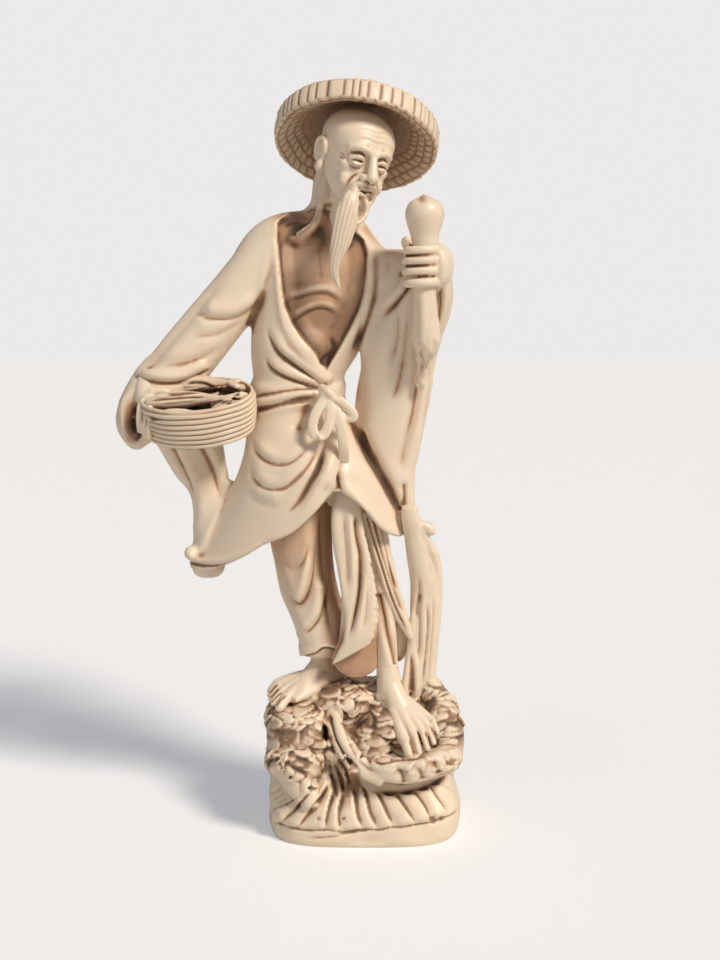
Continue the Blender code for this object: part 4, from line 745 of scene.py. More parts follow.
# The wrap hangs as a sheet between two edges, with a second layer behind its lower end
WRAP_LEFT = numbers("""-10,-11,125.4 -11.3,-15,111.2 -10.1,-15.5,99.5 -7.9,-15.5,90.1 -6.9,-15.5,82
    -6.6,-15.5,75.3 -7.3,-15.5,69.7 -9.3,-15,65.3 -11.4,-14.5,60.9""")
WRAP_RIGHT = numbers("""-1.1,-12,123.8 -0.7,-14.5,109.7 0.7,-15,102.1 2.4,-15.2,95.9 3.7,-15.2,90
    4.1,-15.2,84 4.1,-15,78.7 3.8,-14.8,73.4 2.4,-14.5,68.7""")
BACK_LEFT = numbers("-7.6,-10,84.3 -8.7,-9.6,69.9 -11.2,-9.4,62.4 -9.4,-9.4,58 -5.6,-9.4,55.2")
BACK_RIGHT = numbers("4.5,-9.4,84.1 4.9,-9,68.4 4.9,-9,61.9 4.2,-9,57.9 0.7,-9,55.4")
# The left trouser leg's loose front falls in narrow pleats to a point beside the shin
FAN_LEFT = numbers("""-1.4,-9,113.6 1.4,-10,105.8 3.4,-10,98.4 5.5,-10,91.7 7.6,-10,84.6 10.4,-9.6,78.1
    13.2,-9,72.6 15.7,-8,68.1""")
FAN_RIGHT = numbers("""8.4,-4,112.1 8,-5,104.5 9.1,-5.6,97.5 10.5,-6,90.9 12.2,-6.4,84.9 14.3,-6.6,78.5
    16.1,-6.8,72.8 17.4,-7,68.6""")


def foot_forms(ankle, heel, ball_of_foot, toe_side, shin, toes):
    """Shin, ankle bones, heel, instep and sole, and toes with their nails. toe_side points from the big toe
    outwards. A toe is its root, its tip, how far its knuckle stands up and its radius."""
    ankle, heel, ball_of_foot = (np.array(p, float) for p in (ankle, heel, ball_of_foot))
    stride, side = unit(ball_of_foot - heel), unit(toe_side)
    above = np.cross(stride, side)
    above = unit(above if above[2] > 0 else -above)
    sole, instep = ball_of_foot - heel, ball_of_foot - ankle
    forms = [limb([(*(heel - 1.6 * stride), 2.6, 2.8), (*heel, 3.9, 4.0), (*(heel + 0.4 * sole), 4.6, 4.0),
                   (*(heel + 0.75 * sole), 5.4, 2.8), (*ball_of_foot, 5.6, 1.8)], side),
             limb(shin, (1, 0, 0)), ball(ankle - 3.6 * side + (0, 0, 0.2), (1.9, 1.9, 2.3)),
             ball(ankle + 3.6 * side - (0, 0, 0.6), (1.8, 1.8, 2.2)),
             limb([(*(ankle + (0, 0, 4.0)), 3.6, 3.8), (*(ankle + 0.35 * instep + 1.2 * above), 4.2, 3.6),
                   (*(ankle + 0.7 * instep + 0.6 * above), 5.2, 2.7),
                   (*(ankle + 0.95 * instep + 0.2 * above), 5.2, 1.7)], side)]
    for place, (*ends, rise, radius) in enumerate(toes):
        root, tip = np.reshape(ends, (2, 3))
        knuckle = 0.45 * root + 0.55 * tip + (0, 0, rise)
        start = ankle + 0.45 * (root - ankle) + (0.6 - 0.2 * place) * above
        stops = ((ankle - above, 2.6), (start, 2.3), (root, 1.15 * radius), (knuckle, radius),
                 (tip, 0.95 * radius), (tip + 0.8 * radius * unit(tip - knuckle), 0.35 * radius))
        forms.append(limb([(*p, r, r) for p, r in stops], side, around=32))
        nail = (0.6 * radius, 0.6 * radius, 0.42 * radius)
        forms.append(ball(tip + 0.55 * radius * above, nail, around=24))
    return forms


RIGHT_TOES = numbers("""
    -25.2,-9.5,49.4,-29.5,-14.6,45.5,0.5,1.8 -27.8,-8,50.4,-31.8,-12.2,46.3,0.6,1.15
    -28.9,-6,50.9,-32.8,-9.8,47,0.6,1.1 -29.7,-4.4,51.6,-33.4,-7.6,47.9,0.5,1.05
    -30.2,-2.6,52.1,-33.7,-5.4,48.9,0.4,0.95""")
LEFT_TOES = numbers("""
    13.4,-20.5,37,15.5,-26,32.5,0.9,1.8 16.8,-21,38.6,18.9,-25.4,33,0.8,1.2
    19.3,-19.5,39.9,21.7,-24,33.9,0.8,1.15 21.4,-18,40.9,23.9,-22,35.4,0.7,1.1
    22.9,-16,42.4,25.4,-19.4,38.1,0.6,1""")


def right_leg_clay(voxel):
    """A trouser leg through level ovals, gathered over the ankle, and the bare foot below it."""
    ankle = (-14.5, 1.5, 54.0)
    shin = numbers("-14.5,1.5,51,4.8,5.2 -14.5,1.5,54,4.6,5 -14.6,1.8,61,4.4,4.8 -14.5,2,70,5,5.4")
    clay = Clay([levels(RIGHT_TROUSER), *foot_forms(ankle, (-9.5, 2.0, 53.0), (-26.7, -9.6, 47.6),
                                                    (-0.66, 0.72, -0.1), shin, RIGHT_TOES)], voxel, soften=4)
    # Trouser folds that hang in deep loops
    # Painted shade on the inner side and under the skirt: strokes of no depth
    clay.draw("""
    crease 2 1.9 0 0.35 0.2 0.2 | -14.7,116.4 -14.4,109.3 -13.7,100.4 -13.1,89.6 -12.4,78.8 -11.4,66
    crease 1.9 1.7 -0.9 0.34 0.45 0.35 | -18.2,114.3 -16.9,105.7 -16.6,98.6 -17.3,91.4 -18.7,85.6 -20.5,81.3
      -22.7,78.8 -25.1,79.5 -27.6,82.8 -29.7,87.8 -31.4,94.3
    crease 1.6 1 0 0.16 0.3 0.3 | -19.4,102.2 -20.1,97.9 -21.9,93.9 -24.4,91.8 -27.2,92.5 -29.3,95.7
    # Wash on the inner side and under the skirt
    crease 3 0 0 0.42 | -13.7,116.4 -13,102.2 -12.4,87.8 -11.7,73.3
    crease 3 0 0 0.36 | -29.5,112.2 -22.4,115.7 -15.4,118.5
    """)
    # The lips of the long fold meet in its middle, which is evened out
    rows, far, _, _ = clay.near(numbers("-25.7,102.9 -25,97.9 -24.4,91.4 -23.7,82.8"), 5.0)
    even = np.zeros(len(clay.points))
    even[rows] = np.exp(-((far / 1.8) ** 2)) * clay.facing()[rows]
    clay.relax(24, 0.5, even)
    clay.draw("""
    fold 2.6 1.3 0.8 0.2 0.15 0.2 | -22.4,68.2 -18.8,70.8 -15.9,74.8 -14.5,79.1 -13.8,84.2 -13.8,90
    crease 1.8 0.6 0.5 0.05 | -27.3,76.2 -25.5,71.1 -22.7,66
    lap 1.5 2.6 0.5 0.45 | -23.5,59.8 -20.3,60.9 -17.1,61.8 -14.9,63.5 -12.4,63.7 -9.9,62.8 -8.2,61.3
    """)
    # Painted shade: darker up under the skirt and towards the inner side
    x, z = clay.places().T
    shade = 0.40 * step_up(z, 70.0, 104.0) + 0.40 * step_up(x, -18.5, -11.5)
    clay.add_wash_and_shade(shade * (clay.points[:, 1] < 4.0))
    clay.dab([(-24.6, 66.5, 3.4, 3.4, 0.8, 0.0)])
    # Between the toes
    clay.draw("""
    crease 0.45 0.5 0 0.8 0.3 0.05 | -27.1,45.9 -29.7,44.4 -31.8,41.6
    crease 0.45 0.5 0 0.8 0.3 0.05 | -28.9,47.3 -31.1,45.5 -33.2,43.1
    crease 0.45 0.5 0 0.8 0.3 0.05 | -30,48.8 -31.8,47 -33.8,44.8
    crease 0.45 0.5 0 0.8 0.3 0.05 | -30.7,50.3 -32.5,48.4 -34.1,46.5
    """)
    # Pleats behind
    clay.draw("""
    crease 2.4 1.2 0.6 0.16 | -12,104 -13,88 -15,70
    crease 2.4 1.2 0.6 0.16 | -20,106 -20,88 -18,68
    crease 2.4 1.2 0.6 0.16 | -28,104 -26,88 -21,70
    """, back=True)
    return clay


def left_leg_clay(voxel):
    """A shorter trouser leg with a pleated sheet before it, the bare shin and the foot."""
    ankle = (8.6, -7.5, 50.0)
    shin = numbers("""9,-8,47.5,4.2,4.8 8.8,-7.6,52,4.3,4.8 8.1,-7.4,60,3.8,4.3 7.7,-7,70,3.7,4.3
        6.9,-5.6,82,3.6,4.4 5.4,-3.4,94,4.2,4.8""")
    clay = Clay([levels(LEFT_TROUSER), sheet(FAN_LEFT, FAN_RIGHT, (2.6, 2.4, 2.3, 2.2, 2.1, 2.0, 1.7, 1.2)),
                 *foot_forms(ankle, (6.4, -5.6, 47.0), (18.6, -17.4, 37.4), (0.72, 0.42, 0.55), shin,
                             LEFT_TOES)], voxel, soften=2)
    clay.draw("""
    crease 0.62 1 0.5 0.5 0.04 0.15 | 0.7,111.1 3.2,102.2 5.7,94.3 8.1,86.4 10.6,79.1 13.5,72.6 16,67.9
    crease 0.62 1 0.5 0.5 0.04 0.15 | 3.2,111.4 5.3,102.9 7.4,95 9.6,87.8 12.1,80.6 14.6,74.8
    crease 0.62 1 0.5 0.5 0.04 0.15 | 5.6,110.7 7,102.2 8.5,95.7 9.9,89.2 11.7,83.5
    crease 1.4 1.6 -0.3 0.7 0.05 0.05 | 4.6,83.5 5.7,79.1 7.1,74.1 8.6,68.2 10.7,61.7 12.1,56.5
    lap 0.8 1.5 0.5 0.4 | 18.5,63.9 16.4,60.2 14.3,57.3 11.8,55.1
    # Between the toes
    crease 0.45 0.5 0 0.8 0.3 0.05 | 16.2,30.3 17.4,26.6 18.5,22.9
    crease 0.45 0.5 0 0.8 0.3 0.05 | 19.4,31.8 20.5,28.1 21.6,24.3
    crease 0.45 0.5 0 0.8 0.3 0.05 | 21.7,33.3 23,29.9 24.1,26.6
    crease 0.45 0.5 0 0.8 0.3 0.05 | 23.3,35.5 24.8,32.5 25.9,29.6
    """)
    # Pleats behind
    clay.draw("""
    crease 2.2 1.1 0.6 0.14 | 2,104 4,88 8,70
    crease 2.2 1.1 0.6 0.14 | -3,104 -1,88 4,68
    """, back=True)
    return clay


def wrap_clay(voxel):
    """Two sheets of cloth, one behind the other, each swept between two curved edges."""
    clay = Clay([sheet(WRAP_LEFT, WRAP_RIGHT, (2.6, 2.4, 2.3, 2.3, 2.3, 2.3, 2.2, 1.9, 1.3)),
                 sheet(BACK_LEFT, BACK_RIGHT, (1.8, 1.8, 1.8, 1.6, 1.2))], voxel, soften=3)
    clay.draw("""
    crease 1.7 0.9 0 0.12 | -6.7,115.4 -7,107.9 -6.3,98.6 -6,89.6 -6.4,81.3
    crease 1.5 -0.9 0 0 | -4.9,115.4 -4.6,105.7 -3.9,95 -3.9,84.2
    crease 1.1 1.8 0.6 0.5 0.1 0.2 | -2.8,112.2 -2.1,103.6 -1,96.4 -1.4,86.7 -2.5,78.8 -4.2,71.5 -6,65.3
    crease 1.6 0.7 0.5 0.1 | 0.7,95 1.4,86 1.1,76.2 -0.7,67.5
    crease 1.3 -0.7 0 0 | -8.5,95 -7.4,84.2 -6.7,74.8
    """)
    # The frayed right edge
    places = clay.places()
    far, _, _ = nearest(numbers("""-1,106.5 0.7,99.3 2.5,92.8 3.9,86.7 4.3,80.6 4.3,75.1 3.9,69.7
        2.5,65"""), places)
    frayed = (np.sin(1.1 * places[:, 1]) + np.sin(2.3 * places[:, 1] + 1.0)) * step_up(1.6 - far, 0.0, 1.4)
    clay.points[:, 0] -= 0.16 * frayed * (places[:, 1] < 104.0)
    clay.normals()
    # Painted shade on the lower part of the layer behind
    behind = step_up(clay.points[:, 1], -13.4, -12.4) * step_up(76.0 - clay.points[:, 2], 0.0, 8.0)
    clay.add_wash_and_shade(0.5 * behind)
    return clay


# Rock and foam


def waves(u, v, seed, size):
    """A smooth uneven field from -1 to 1: six sine waves of unlike directions and lengths round size."""
    chance = np.random.default_rng(seed)
    total = 0.0
    for _ in range(6):
        turn, long = chance.uniform(0.0, 2.0 * math.pi), size * chance.uniform(0.6, 1.6)
        along = u * math.cos(turn) + v * math.sin(turn)
        total = total + np.sin(2.0 * math.pi * along / long + chance.uniform(0.0, 6.3))
    return total / 3.6


def flakes(u, v, wide, high, seed, thick=1.0):
    """Heights of split stone: rows of jittered, tilted slabs with uneven outlines, each over the row below,
    thickest at its own lower edge."""
    chance = np.random.default_rng(seed)
    u, v = u + 1.2 * waves(u, v, seed + 1, 11.0), v + 1.2 * waves(u, v, seed + 2, 9.0)
    columns = np.arange(math.floor(u.min() / wide) - 1, math.ceil(u.max() / wide) + 2)
    rows = np.arange(math.floor(v.min() / high) - 1, math.ceil(v.max() / high) + 3)
    a, b = np.meshgrid(columns, rows)
    a, b = a.ravel(), b.ravel()
    cu = (a + 0.5 * (b % 2) + chance.uniform(-0.42, 0.42, a.size)) * wide
    cv = (b + chance.uniform(-0.5, 0.5, b.size)) * high
    half_u = wide * chance.uniform(0.4, 0.95, a.size)
    half_v = high * chance.uniform(0.8, 1.7, a.size)
    stand = thick * chance.uniform(0.3, 1.2, a.size)
    lean, power = chance.uniform(-0.6, 0.6, a.size), chance.uniform(1.5, 3.0, a.size)
    height = np.zeros(len(u))
    for i in np.argsort(cv):
        near = np.nonzero((np.abs(u - cu[i]) < half_u[i]) & (np.abs(v - cv[i]) < half_v[i]))[0]
        du, dv = (u[near] - cu[i]) / half_u[i], (cv[i] - v[near]) / half_v[i]
        r = np.abs(du) ** power[i] + np.abs(dv) ** power[i]
        hit = r < 1.0
        near, du, dv, r = near[hit], du[hit], dv[hit], r[hit]
        slab = stand[i] * (0.5 + 0.5 * dv + lean[i] * du) * step_up(1.0 - r, 0.0, 0.30)
        height[near] = np.maximum(0.4 * height[near], slab)
    return height


def rock_clay(voxel):
    """A plinth through level ovals, boulders and ridges fused on it, less the cave and its slits."""
    plinth = numbers("""-0.4,-32.4,32.6,-27.4,24 2,-33.2,33.8,-28.2,25 7,-33.6,34.2,-28.4,25.6
        11,-33.8,33.8,-27.8,25.6 14,-33.6,32.6,-25.8,25.2 18,-33.2,31,-22.6,24.8 24,-32.8,29.6,-18,24.2
        31,-34,29.2,-14.5,23 38,-34,27,-12.5,21 43,-32,23,-11.5,18 47,-26,17,-8,14 50,-19,10,-4,9""")
    forms = [levels(plinth, 3.4)]
    forms += balls(numbers("""-22,-12,36,12,12,9.5 -23.6,-16,27.5,9.8,10.5,8.5 9.3,-8.6,37.5,12,10,8
        -7.3,-2.7,45,12,12,7 19,-1,39.5,9,11,8 3,-13,31,8,8,8.5 16.8,-14,27.7,15.5,11,3.8
        26.8,-10,29.6,8,11,5"""))
    forms.append(limb(numbers("""-25,-13,33,8.6,8 -24,-18,26.5,7.6,6.6 -21.6,-22,20.5,5.6,4.8
        -18.8,-24.4,16,3.8,3.4 -17,-25.6,13.4,1.8,1.8"""), (1, 0, 0)))
    # The smooth rim that sweeps down from the upper left and ends in the brow
    forms.append(limb(numbers("""-10.8,-13,42.9,2.4,2.2 -9.7,-18,39.5,2.6,2.2 -7.9,-21,36.1,2.8,2.2
        -5.2,-24,32.2,3,2.2 -1.7,-26,29,3,2.2 2,-27,26.5,3,2.2 6.8,-28,24.7,3,2.2"""), (1, 0, 1), 2.4))
    forms.append(limb(numbers("""-13.4,-9,42.4,3.4,3 -12.9,-13,39.3,3.4,3 -11.8,-16,35.2,3.4,3
        -10.1,-18,31.6,3.4,3 -7.3,-20,27.9,3.4,3"""), (1, 0, 0)))
    forms.append(limb(numbers("""2.7,-26,28.6,3,3 8.1,-27,27.5,4,3.8 13.6,-27,27.2,4.4,4.2
        19.1,-26.6,28.1,4.6,4.4 24.6,-24.6,29.2,4.6,4.6 28.6,-20,29.4,4.4,4.8
        30.1,-14,28,3.6,4.6"""), (0, 1, 0), 2.4))
    forms.append(limb(numbers("23.7,2,47.1,4,9 26.3,-4,40.8,6,10 27.8,-10,35.4,6.6,10 28.6,-14,30.2,5.6,8"),
                      (1, 0, 0)))
    # The cave, three slits beside it and a pit, each leaning by its last number
    hollows = [ball(row[:3], row[3:6], turned(("Y", row[6]))) for row in numbers("""
        -7.2,-24,24.7,5.8,8,7.6,32 -13.5,-18,37.3,1.5,6,3.6,-10 -11.7,-24,25.1,1.5,9,5,-6
        -1.1,-24,32,0.9,3,1.1,0 -3.8,-26,27.2,2.6,5,2.2,36""")]
    clay = Clay(forms, voxel, hollows, soften=3)
    carve_rock(clay)
    clay.points[:, 2] = np.maximum(clay.points[:, 2], 0.0)
    return clay


SMOOTH_RIM = numbers("-11.8,39.6 -10.4,33.7 -7.9,27.7 -4.6,22.9 -1,19.1 3.3,16.5 8.3,13.9")
CAVE = numbers("-9,25.5 -5.7,20.2 -2.1,15.7 0,10.5 -2.8,7.5 -9.3,7.5 -12.2,11.2 -11.1,18.7")
FOAM_HEART = (-7.5, 15.0)
BLADES_LOW = numbers("""-36.9,2.2 -30,-1.6 -23.1,-2.3 -14.4,-3.9 -9.4,-4.2 -0.7,-3.9 3.7,-3.5 10.2,-2.3
    17.8,-1.2 24.3,-0.1 30.8,1.4 36.9,6.7""")
BLADES_TOP = numbers("""-26,6.7 -20.9,8.2 -14.8,10.1 -11,10.5 -7.9,10.5 -4.6,10.5 -0.7,10.9 5.1,8.2 12,8.6
    18.1,10.1 24.2,11.2 29.6,12.7""")
FOAM_ROOF = numbers("""-36.7,19.5 -23,18.7 -7.5,16.5 -1.4,12.7 2.6,10.5 7.3,9.7 13,9.7 18.1,10.5 23.1,12
    28.9,15 38.2,19.5""")
FOAM_EDGE = numbers("""-33.3,-0.8 -28.2,-2.7 -23.9,-3.9 -18.8,-4.4 -13.4,-4.2 -6.8,-5 1.1,-4.2 5.8,-4.2
    9.8,-3.3 14.5,-3.1 18.9,-2.2 24.7,-1.2 31.9,1.8 34.8,4.5""")


def foam(eye):
    """Blades that fan out from the cave: each rises from its valley on the left to a crisp edge on the right.
    The valley between two blades runs straight from its place at the foam's foot to its place at the top.
    Last comes painted shade over the left of each blade, the more the higher, and round the cave."""
    x, z = eye.T
    low, top = BLADES_LOW, BLADES_TOP
    rise = (z[:, None] - low[:, 1]) / (top[:, 1] - low[:, 1])
    bounds = low[:, 0] + (top[:, 0] - low[:, 0]) * np.clip(rise, -0.2, 1.2)
    across = x + 0.5 * waves(x, z, 51, 12.0)
    every, place = np.arange(len(x)), np.clip((across[:, None] > bounds).sum(axis=1) - 1, 0, len(low) - 2)
    left, right = bounds[every, place], bounds[every, place + 1]
    share = np.clip((across - left) / (right - left), 0.0, 1.0)
    height = np.clip(rise[every, place], 0.0, 1.0)
    reach = np.hypot(*(eye - FOAM_HEART).T)
    blade = step_up(share, 0.0, 0.50) * (0.45 + 0.55 * share) * step_up(1.0 - share, 0.0, 0.12)
    above = step_up(z - np.interp(x, *FOAM_EDGE.T), -1.6, 2.0)
    under = step_up(np.interp(x, *FOAM_ROOF.T) - z, 0.0, 1.6)
    inside_fan = above * under * step_up(reach, 4.0, 9.0)
    inside_fan *= step_up(across - bounds[:, 0], 0.0, 2.5) * step_up(bounds[:, -1] - across, 0.0, 2.5)
    # Painted shade over the left part of each blade and round the cave
    valley = (1.0 - step_up(share, 0.0, 0.30)) * (0.20 + 0.80 * height)
    return inside_fan, blade, np.maximum(0.50 * valley, 0.55 * (1.0 - step_up(reach, 6.0, 15.0)))


def carve_rock(clay):
    """Flakes and foam pushed out along the normals, then the wash in what lies low with painted shade in the
    foam and the cave, then single strokes.

    The coordinates x, y and z are views of the points, so they follow every push."""
    x, y, z = clay.points.T
    every = np.arange(len(x))
    weights = np.abs(clay.normal) ** 3
    weights /= weights.sum(axis=1, keepdims=True)
    eye = clay.places()
    u, v = eye.T
    ahead = clay.normal[:, 1] < 0.2
    front = ahead.astype(float)
    seen_part = clay.facing()
    # Flakes on the three planes, shared out by how a point is turned
    heights = np.where(ahead, weights[:, 1] + weights[:, 2], weights[:, 1]) * flakes(
        np.where(ahead, u + 0.5 * v, x), np.where(ahead, v - 0.3 * u, z), 5.4, 2.3, 7, 1.9)
    heights += weights[:, 0] * flakes(y, z, 5.4, 2.6, 11, 1.8)
    heights += (1.0 - front) * weights[:, 2] * flakes(x, y, 5.4, 3.2, 13, 1.6)
    # Where the stone is smoother: the rim, the brow, the snout and below it
    far, _, _ = nearest(SMOOTH_RIM, eye)
    smooth = front * np.exp(-((far / 2.8) ** 4))
    brow = front * step_up(u, 2.0, 6.0) * step_up(29.5 - v, 0.0, 3.0)
    snout = front * np.exp(-(((u + 18.4) / 3.4) ** 4 + ((v - 16.4) / 3.2) ** 4))
    around_snout = np.exp(-(((u + 20.5) / 7.0) ** 4 + ((v - 18.5) / 5.6) ** 4))
    below = front * step_up(19.0 - v, 0.0, 5.0) * (1.0 - around_snout)
    rough = (1.0 - smooth) * (1.0 - 0.45 * brow) * (1.0 - 0.35 * snout)
    rough = rough * np.where(ahead, 1.0 - below, step_up(z, 14.0, 19.0))
    in_fan, blade, foam_painted_shade = foam(eye)
    clay.push(every, rough * heights * (0.75 + 0.5 * waves(u, v, 21, 16.0)))
    in_fan = in_fan * front * step_up(-clay.normal[:, 1], 0.10, 0.45) * (1.0 - around_snout)
    foot = 0.4 * step_up(16.0 - z, 0.0, 6.0) * step_up(z, 0.5, 3.0) * waves(x + y, z * 2.0, 41, 15.0)
    clay.push(every, in_fan * (1.8 * blade - 0.8) + foot)
    clay.relax(2, 0.4)
    low = 1.0 - step_up(heights, 0.10, 0.9)
    patches = step_up(waves(u, v, 31, 13.0), -0.25, 0.75)
    top = step_up(v, 30.0, 40.0) * step_up(u, -24.0, -14.0)
    wash = rough * (0.08 + 0.85 * low + 0.32 * patches + 0.40 * top * patches)
    wash = np.maximum(wash, in_fan * foam_painted_shade)
    wash = np.maximum(wash, 0.30 * snout * step_up(-v + 19.5, 0.0, 4.0))
    clay.add_wash_and_shade(clay.mean(wash))
    # Painted shade inside the cave, as it is seen from in front
    clay.add_wash_and_shade(0.62, inside(CAVE, eye) & ahead)
    clay.wash = clay.mean(clay.wash)
    # Rim, cave and brow
    clay.draw("""
    crease 0.9 1.3 0 0.6 0.1 0.1 | -12.5,39.6 -11.8,34.4 -10.4,29.2 -7.5,24 -3.9,19.5
    crease 1.3 0.6 0 0.3 0.2 0.3 | -6.4,33.7 -5,28.4 -2.5,22.9 1.5,18.7 6.5,16.1
    crease 0.7 0.7 0.8 0.75 0.1 0.3 | -9.3,22.5 -6.8,18 -5,12
    crease 0.7 0.7 0.8 0.75 0.1 0.3 | -10.8,20.2 -8.3,15 -7.2,9
    crease 0.7 0.7 0.8 0.75 0.1 0.3 | -11.9,17.2 -10.4,12 -9.7,6.7
    crease 1 0.9 0 0.7 0.1 0.3 | 2.9,22.1 6.5,20.6 10.5,21.4 14.4,21.7 18.8,22.1 23.8,23.6
    crease 1.6 -0.5 0 0 | 4.4,18.7 8.7,19.5 13.7,20.6 19.5,21 25.2,22.5 30.2,24.7
    crease 1.6 1 0.5 0.18 0.6 0.05 | 10.1,19.9 13.4,16.9 14.5,12.7
    crease 1.6 1 0.5 0.18 0.6 0.05 | 17,20.6 20.2,17.6 21.3,14.2
    crease 1.6 1 0.5 0.18 0.6 0.05 | 22.7,22.9 26,19.9 27.4,16.5
    crease 1.6 1 0.5 0.18 0.6 0.05 | 27.4,25.8 29.9,22.9 31,19.5
    crease 1.5 1.2 0 0.55 0.2 0.2 | 2.6,10.5 7.3,9.7 13,9.7 18.1,10.5 23.1,12 28.9,15 31.7,18
    """)
    # Foam's front edge, strokes on the left, holes and chips
    clay.fold(FOAM_EDGE, 1.8, 0.3, 0.5, 0.06, 0.05, 0.05)
    clay.draw("""
    crease 1.2 0.5 0.5 0.15 | -23.2,-7.7 -12.3,-7.3 -4.3,-5.4 2.9,-4.2
    """)
    first = numbers("-33.9,8.6 -31.4,10.1 -28.8,12.4")
    for place in range(5):
        clay.crease(first + (0.9 * place, -1.9 * place), 0.9, 0.45, 0.6, 0.10, 0.2, 0.4)
    for x0, z0, size in numbers("-19.4,11.2,1 -26.3,15.4,0.9 -1,22.9,0.8"):
        clay.dab([(x0, z0, 2.6 * size, 2.2 * size, 1.0, 0.0), (x0, z0, size, 0.8 * size, -2.2, 0.0)])
        spot = np.exp(-(((u - x0) / size) ** 2 + ((v - z0) / size) ** 2))
        clay.add_wash_and_shade(0.9 * spot * seen_part)
    for x0, size in numbers("-16.6,0.8 -7.4,0.7 25,1.3 28,0.9"):
        clay.dab([(x0, -0.4, size, size, -0.7 * size, 0.0)])


# Hat, basket and catch


HAT_CENTRE = np.array((-2.8, -1.4, 237.6))
HAT_RADIUS, HAT_EDGE, HAT_RISE, HAT_WALL = 28.6, 6.4, 17.0, 3.4
HAT_TURN = turned(("Y", 6.0), ("X", -29.0))
BASKET_CENTRE = np.array((-56.2, -16.0, 153.9))
BASKET_LENGTH, BASKET_BREADTH, BASKET_HEIGHT = 39.5, 31.0, 13.0
BASKET_TURN = turned(("Y", -4.0), ("X", 18.0))


def grid_normals(rings):
    """Normals of rings of points that are closed round, pointing away from the axis on an outer side."""
    along_ring = np.roll(rings, -1, axis=1) - np.roll(rings, 1, axis=1)
    across = np.gradient(rings, axis=0)
    return unit(np.cross(along_ring, across))


def pillow(value, power=6):
    """1 in the middle of every whole step of value, 0 at its joints."""
    part = value - np.floor(value)
    return 1.0 - np.abs(2.0 * part - 1.0) ** power


def ripple(turn, count, start=0.0):
    """A sine wave that fits so many times into a whole turn."""
    return np.sin(2 * math.pi * turn * count + start)


def chance_of(cells, seed):
    """A fixed share from 0 to 1 for each whole number cell."""
    wave = np.sin(cells * 12.9898 + seed * 78.233) * 43758.5453
    return wave - np.floor(wave)


def hat_rings():
    """Rings of the hat from the peak over the top, down the slatted edge and in along the underside."""
    top = HAT_RISE
    profile = [(0.4, top), (2.5, top - 0.5), (8.6, 0.88 * top), (20.6, 0.60 * top), (26.4, HAT_EDGE + 1.2),
               (28.2, HAT_EDGE + 0.1), (HAT_RADIUS, HAT_EDGE - 1.2), (HAT_RADIUS + 0.1, 3.4),
               (HAT_RADIUS, 1.0), (28.0, 0.1), (27.0, 0.0), (25.6, 0.7), (22.0, 3.4),
               (17.2, 0.58 * top - HAT_WALL), (10.0, 0.80 * top - HAT_WALL), (4.0, 0.90 * top - HAT_WALL),
               (0.4, 0.90 * top - HAT_WALL)]
    fine = through(np.array(profile), 24)
    steps = np.concatenate([[0.0], np.cumsum(np.linalg.norm(np.diff(fine, axis=0), axis=1))])
    wanted = np.linspace(0.0, steps[-1], 190)
    radius = np.interp(wanted, steps, fine[:, 0])
    height = np.interp(wanted, steps, fine[:, 1])
    rings, turn = ring_grid(radius, radius, height, 456)
    outward = -grid_normals(rings)
    if (outward[60] * rings[60])[:, :2].sum() < 0:
        outward = -outward
    under = (wanted > wanted[np.argmax(radius)] + 3.6)[:, None]
    edge = ((radius > 27.9) & (height > 0.4) & (height < HAT_EDGE))[:, None].astype(float)
    rings[..., :2] *= 0.97
    # Slats on the edge, of unlike widths
    bent = turn * 48.0 + 0.30 * ripple(turn, 7.0) + 0.18 * ripple(turn, 13.0, 1.0)
    slats = pillow(bent, 5)
    lift = 0.35 * (chance_of(np.floor(bent), 3) - 0.5)
    # Plaits under and over the brim: slanted bricks on rings
    row = radius[:, None] / 2.7
    slant = turn * 46.0 + 0.5 * np.floor(row) + 0.55 * row
    bricks = pillow(slant, 5) * pillow(row + 0.12 * ripple(turn, 9.0), 5)
    cell = np.floor(slant) + 57.0 * np.floor(row)
    plait = bricks * (0.28 + 0.30 * chance_of(cell, 5))
    worn = 1.0 - 0.6 * under * step_up(21.0 - radius[:, None], 0.0, 5.0)
    soft_edge = step_up(edge, 0.0, 1.0)
    rise = soft_edge * (0.75 * slats + lift - 0.75) + (1.0 - soft_edge) * plait * worn
    wash = soft_edge * 0.75 * (1.0 - slats) + (1.0 - soft_edge) * (0.34 * worn * (1.0 - bricks) + 0.12)
    # Painted shade under the brim, darker towards its middle
    deep = step_up(1.0 - radius[:, None] / 27.0, 0.0, 0.6) * under
    wash = wash + 0.38 * deep + 0.12 * under
    return rings + rise[..., None] * outward, wash


def grid_form(rings, wash):
    """A closed skin of the rings, with the wash and painted shade of its two hubs added."""
    points, faces = skin(rings)
    return points, faces, np.concatenate([wash.ravel(), [wash[0].mean(), wash[-1].mean()]])


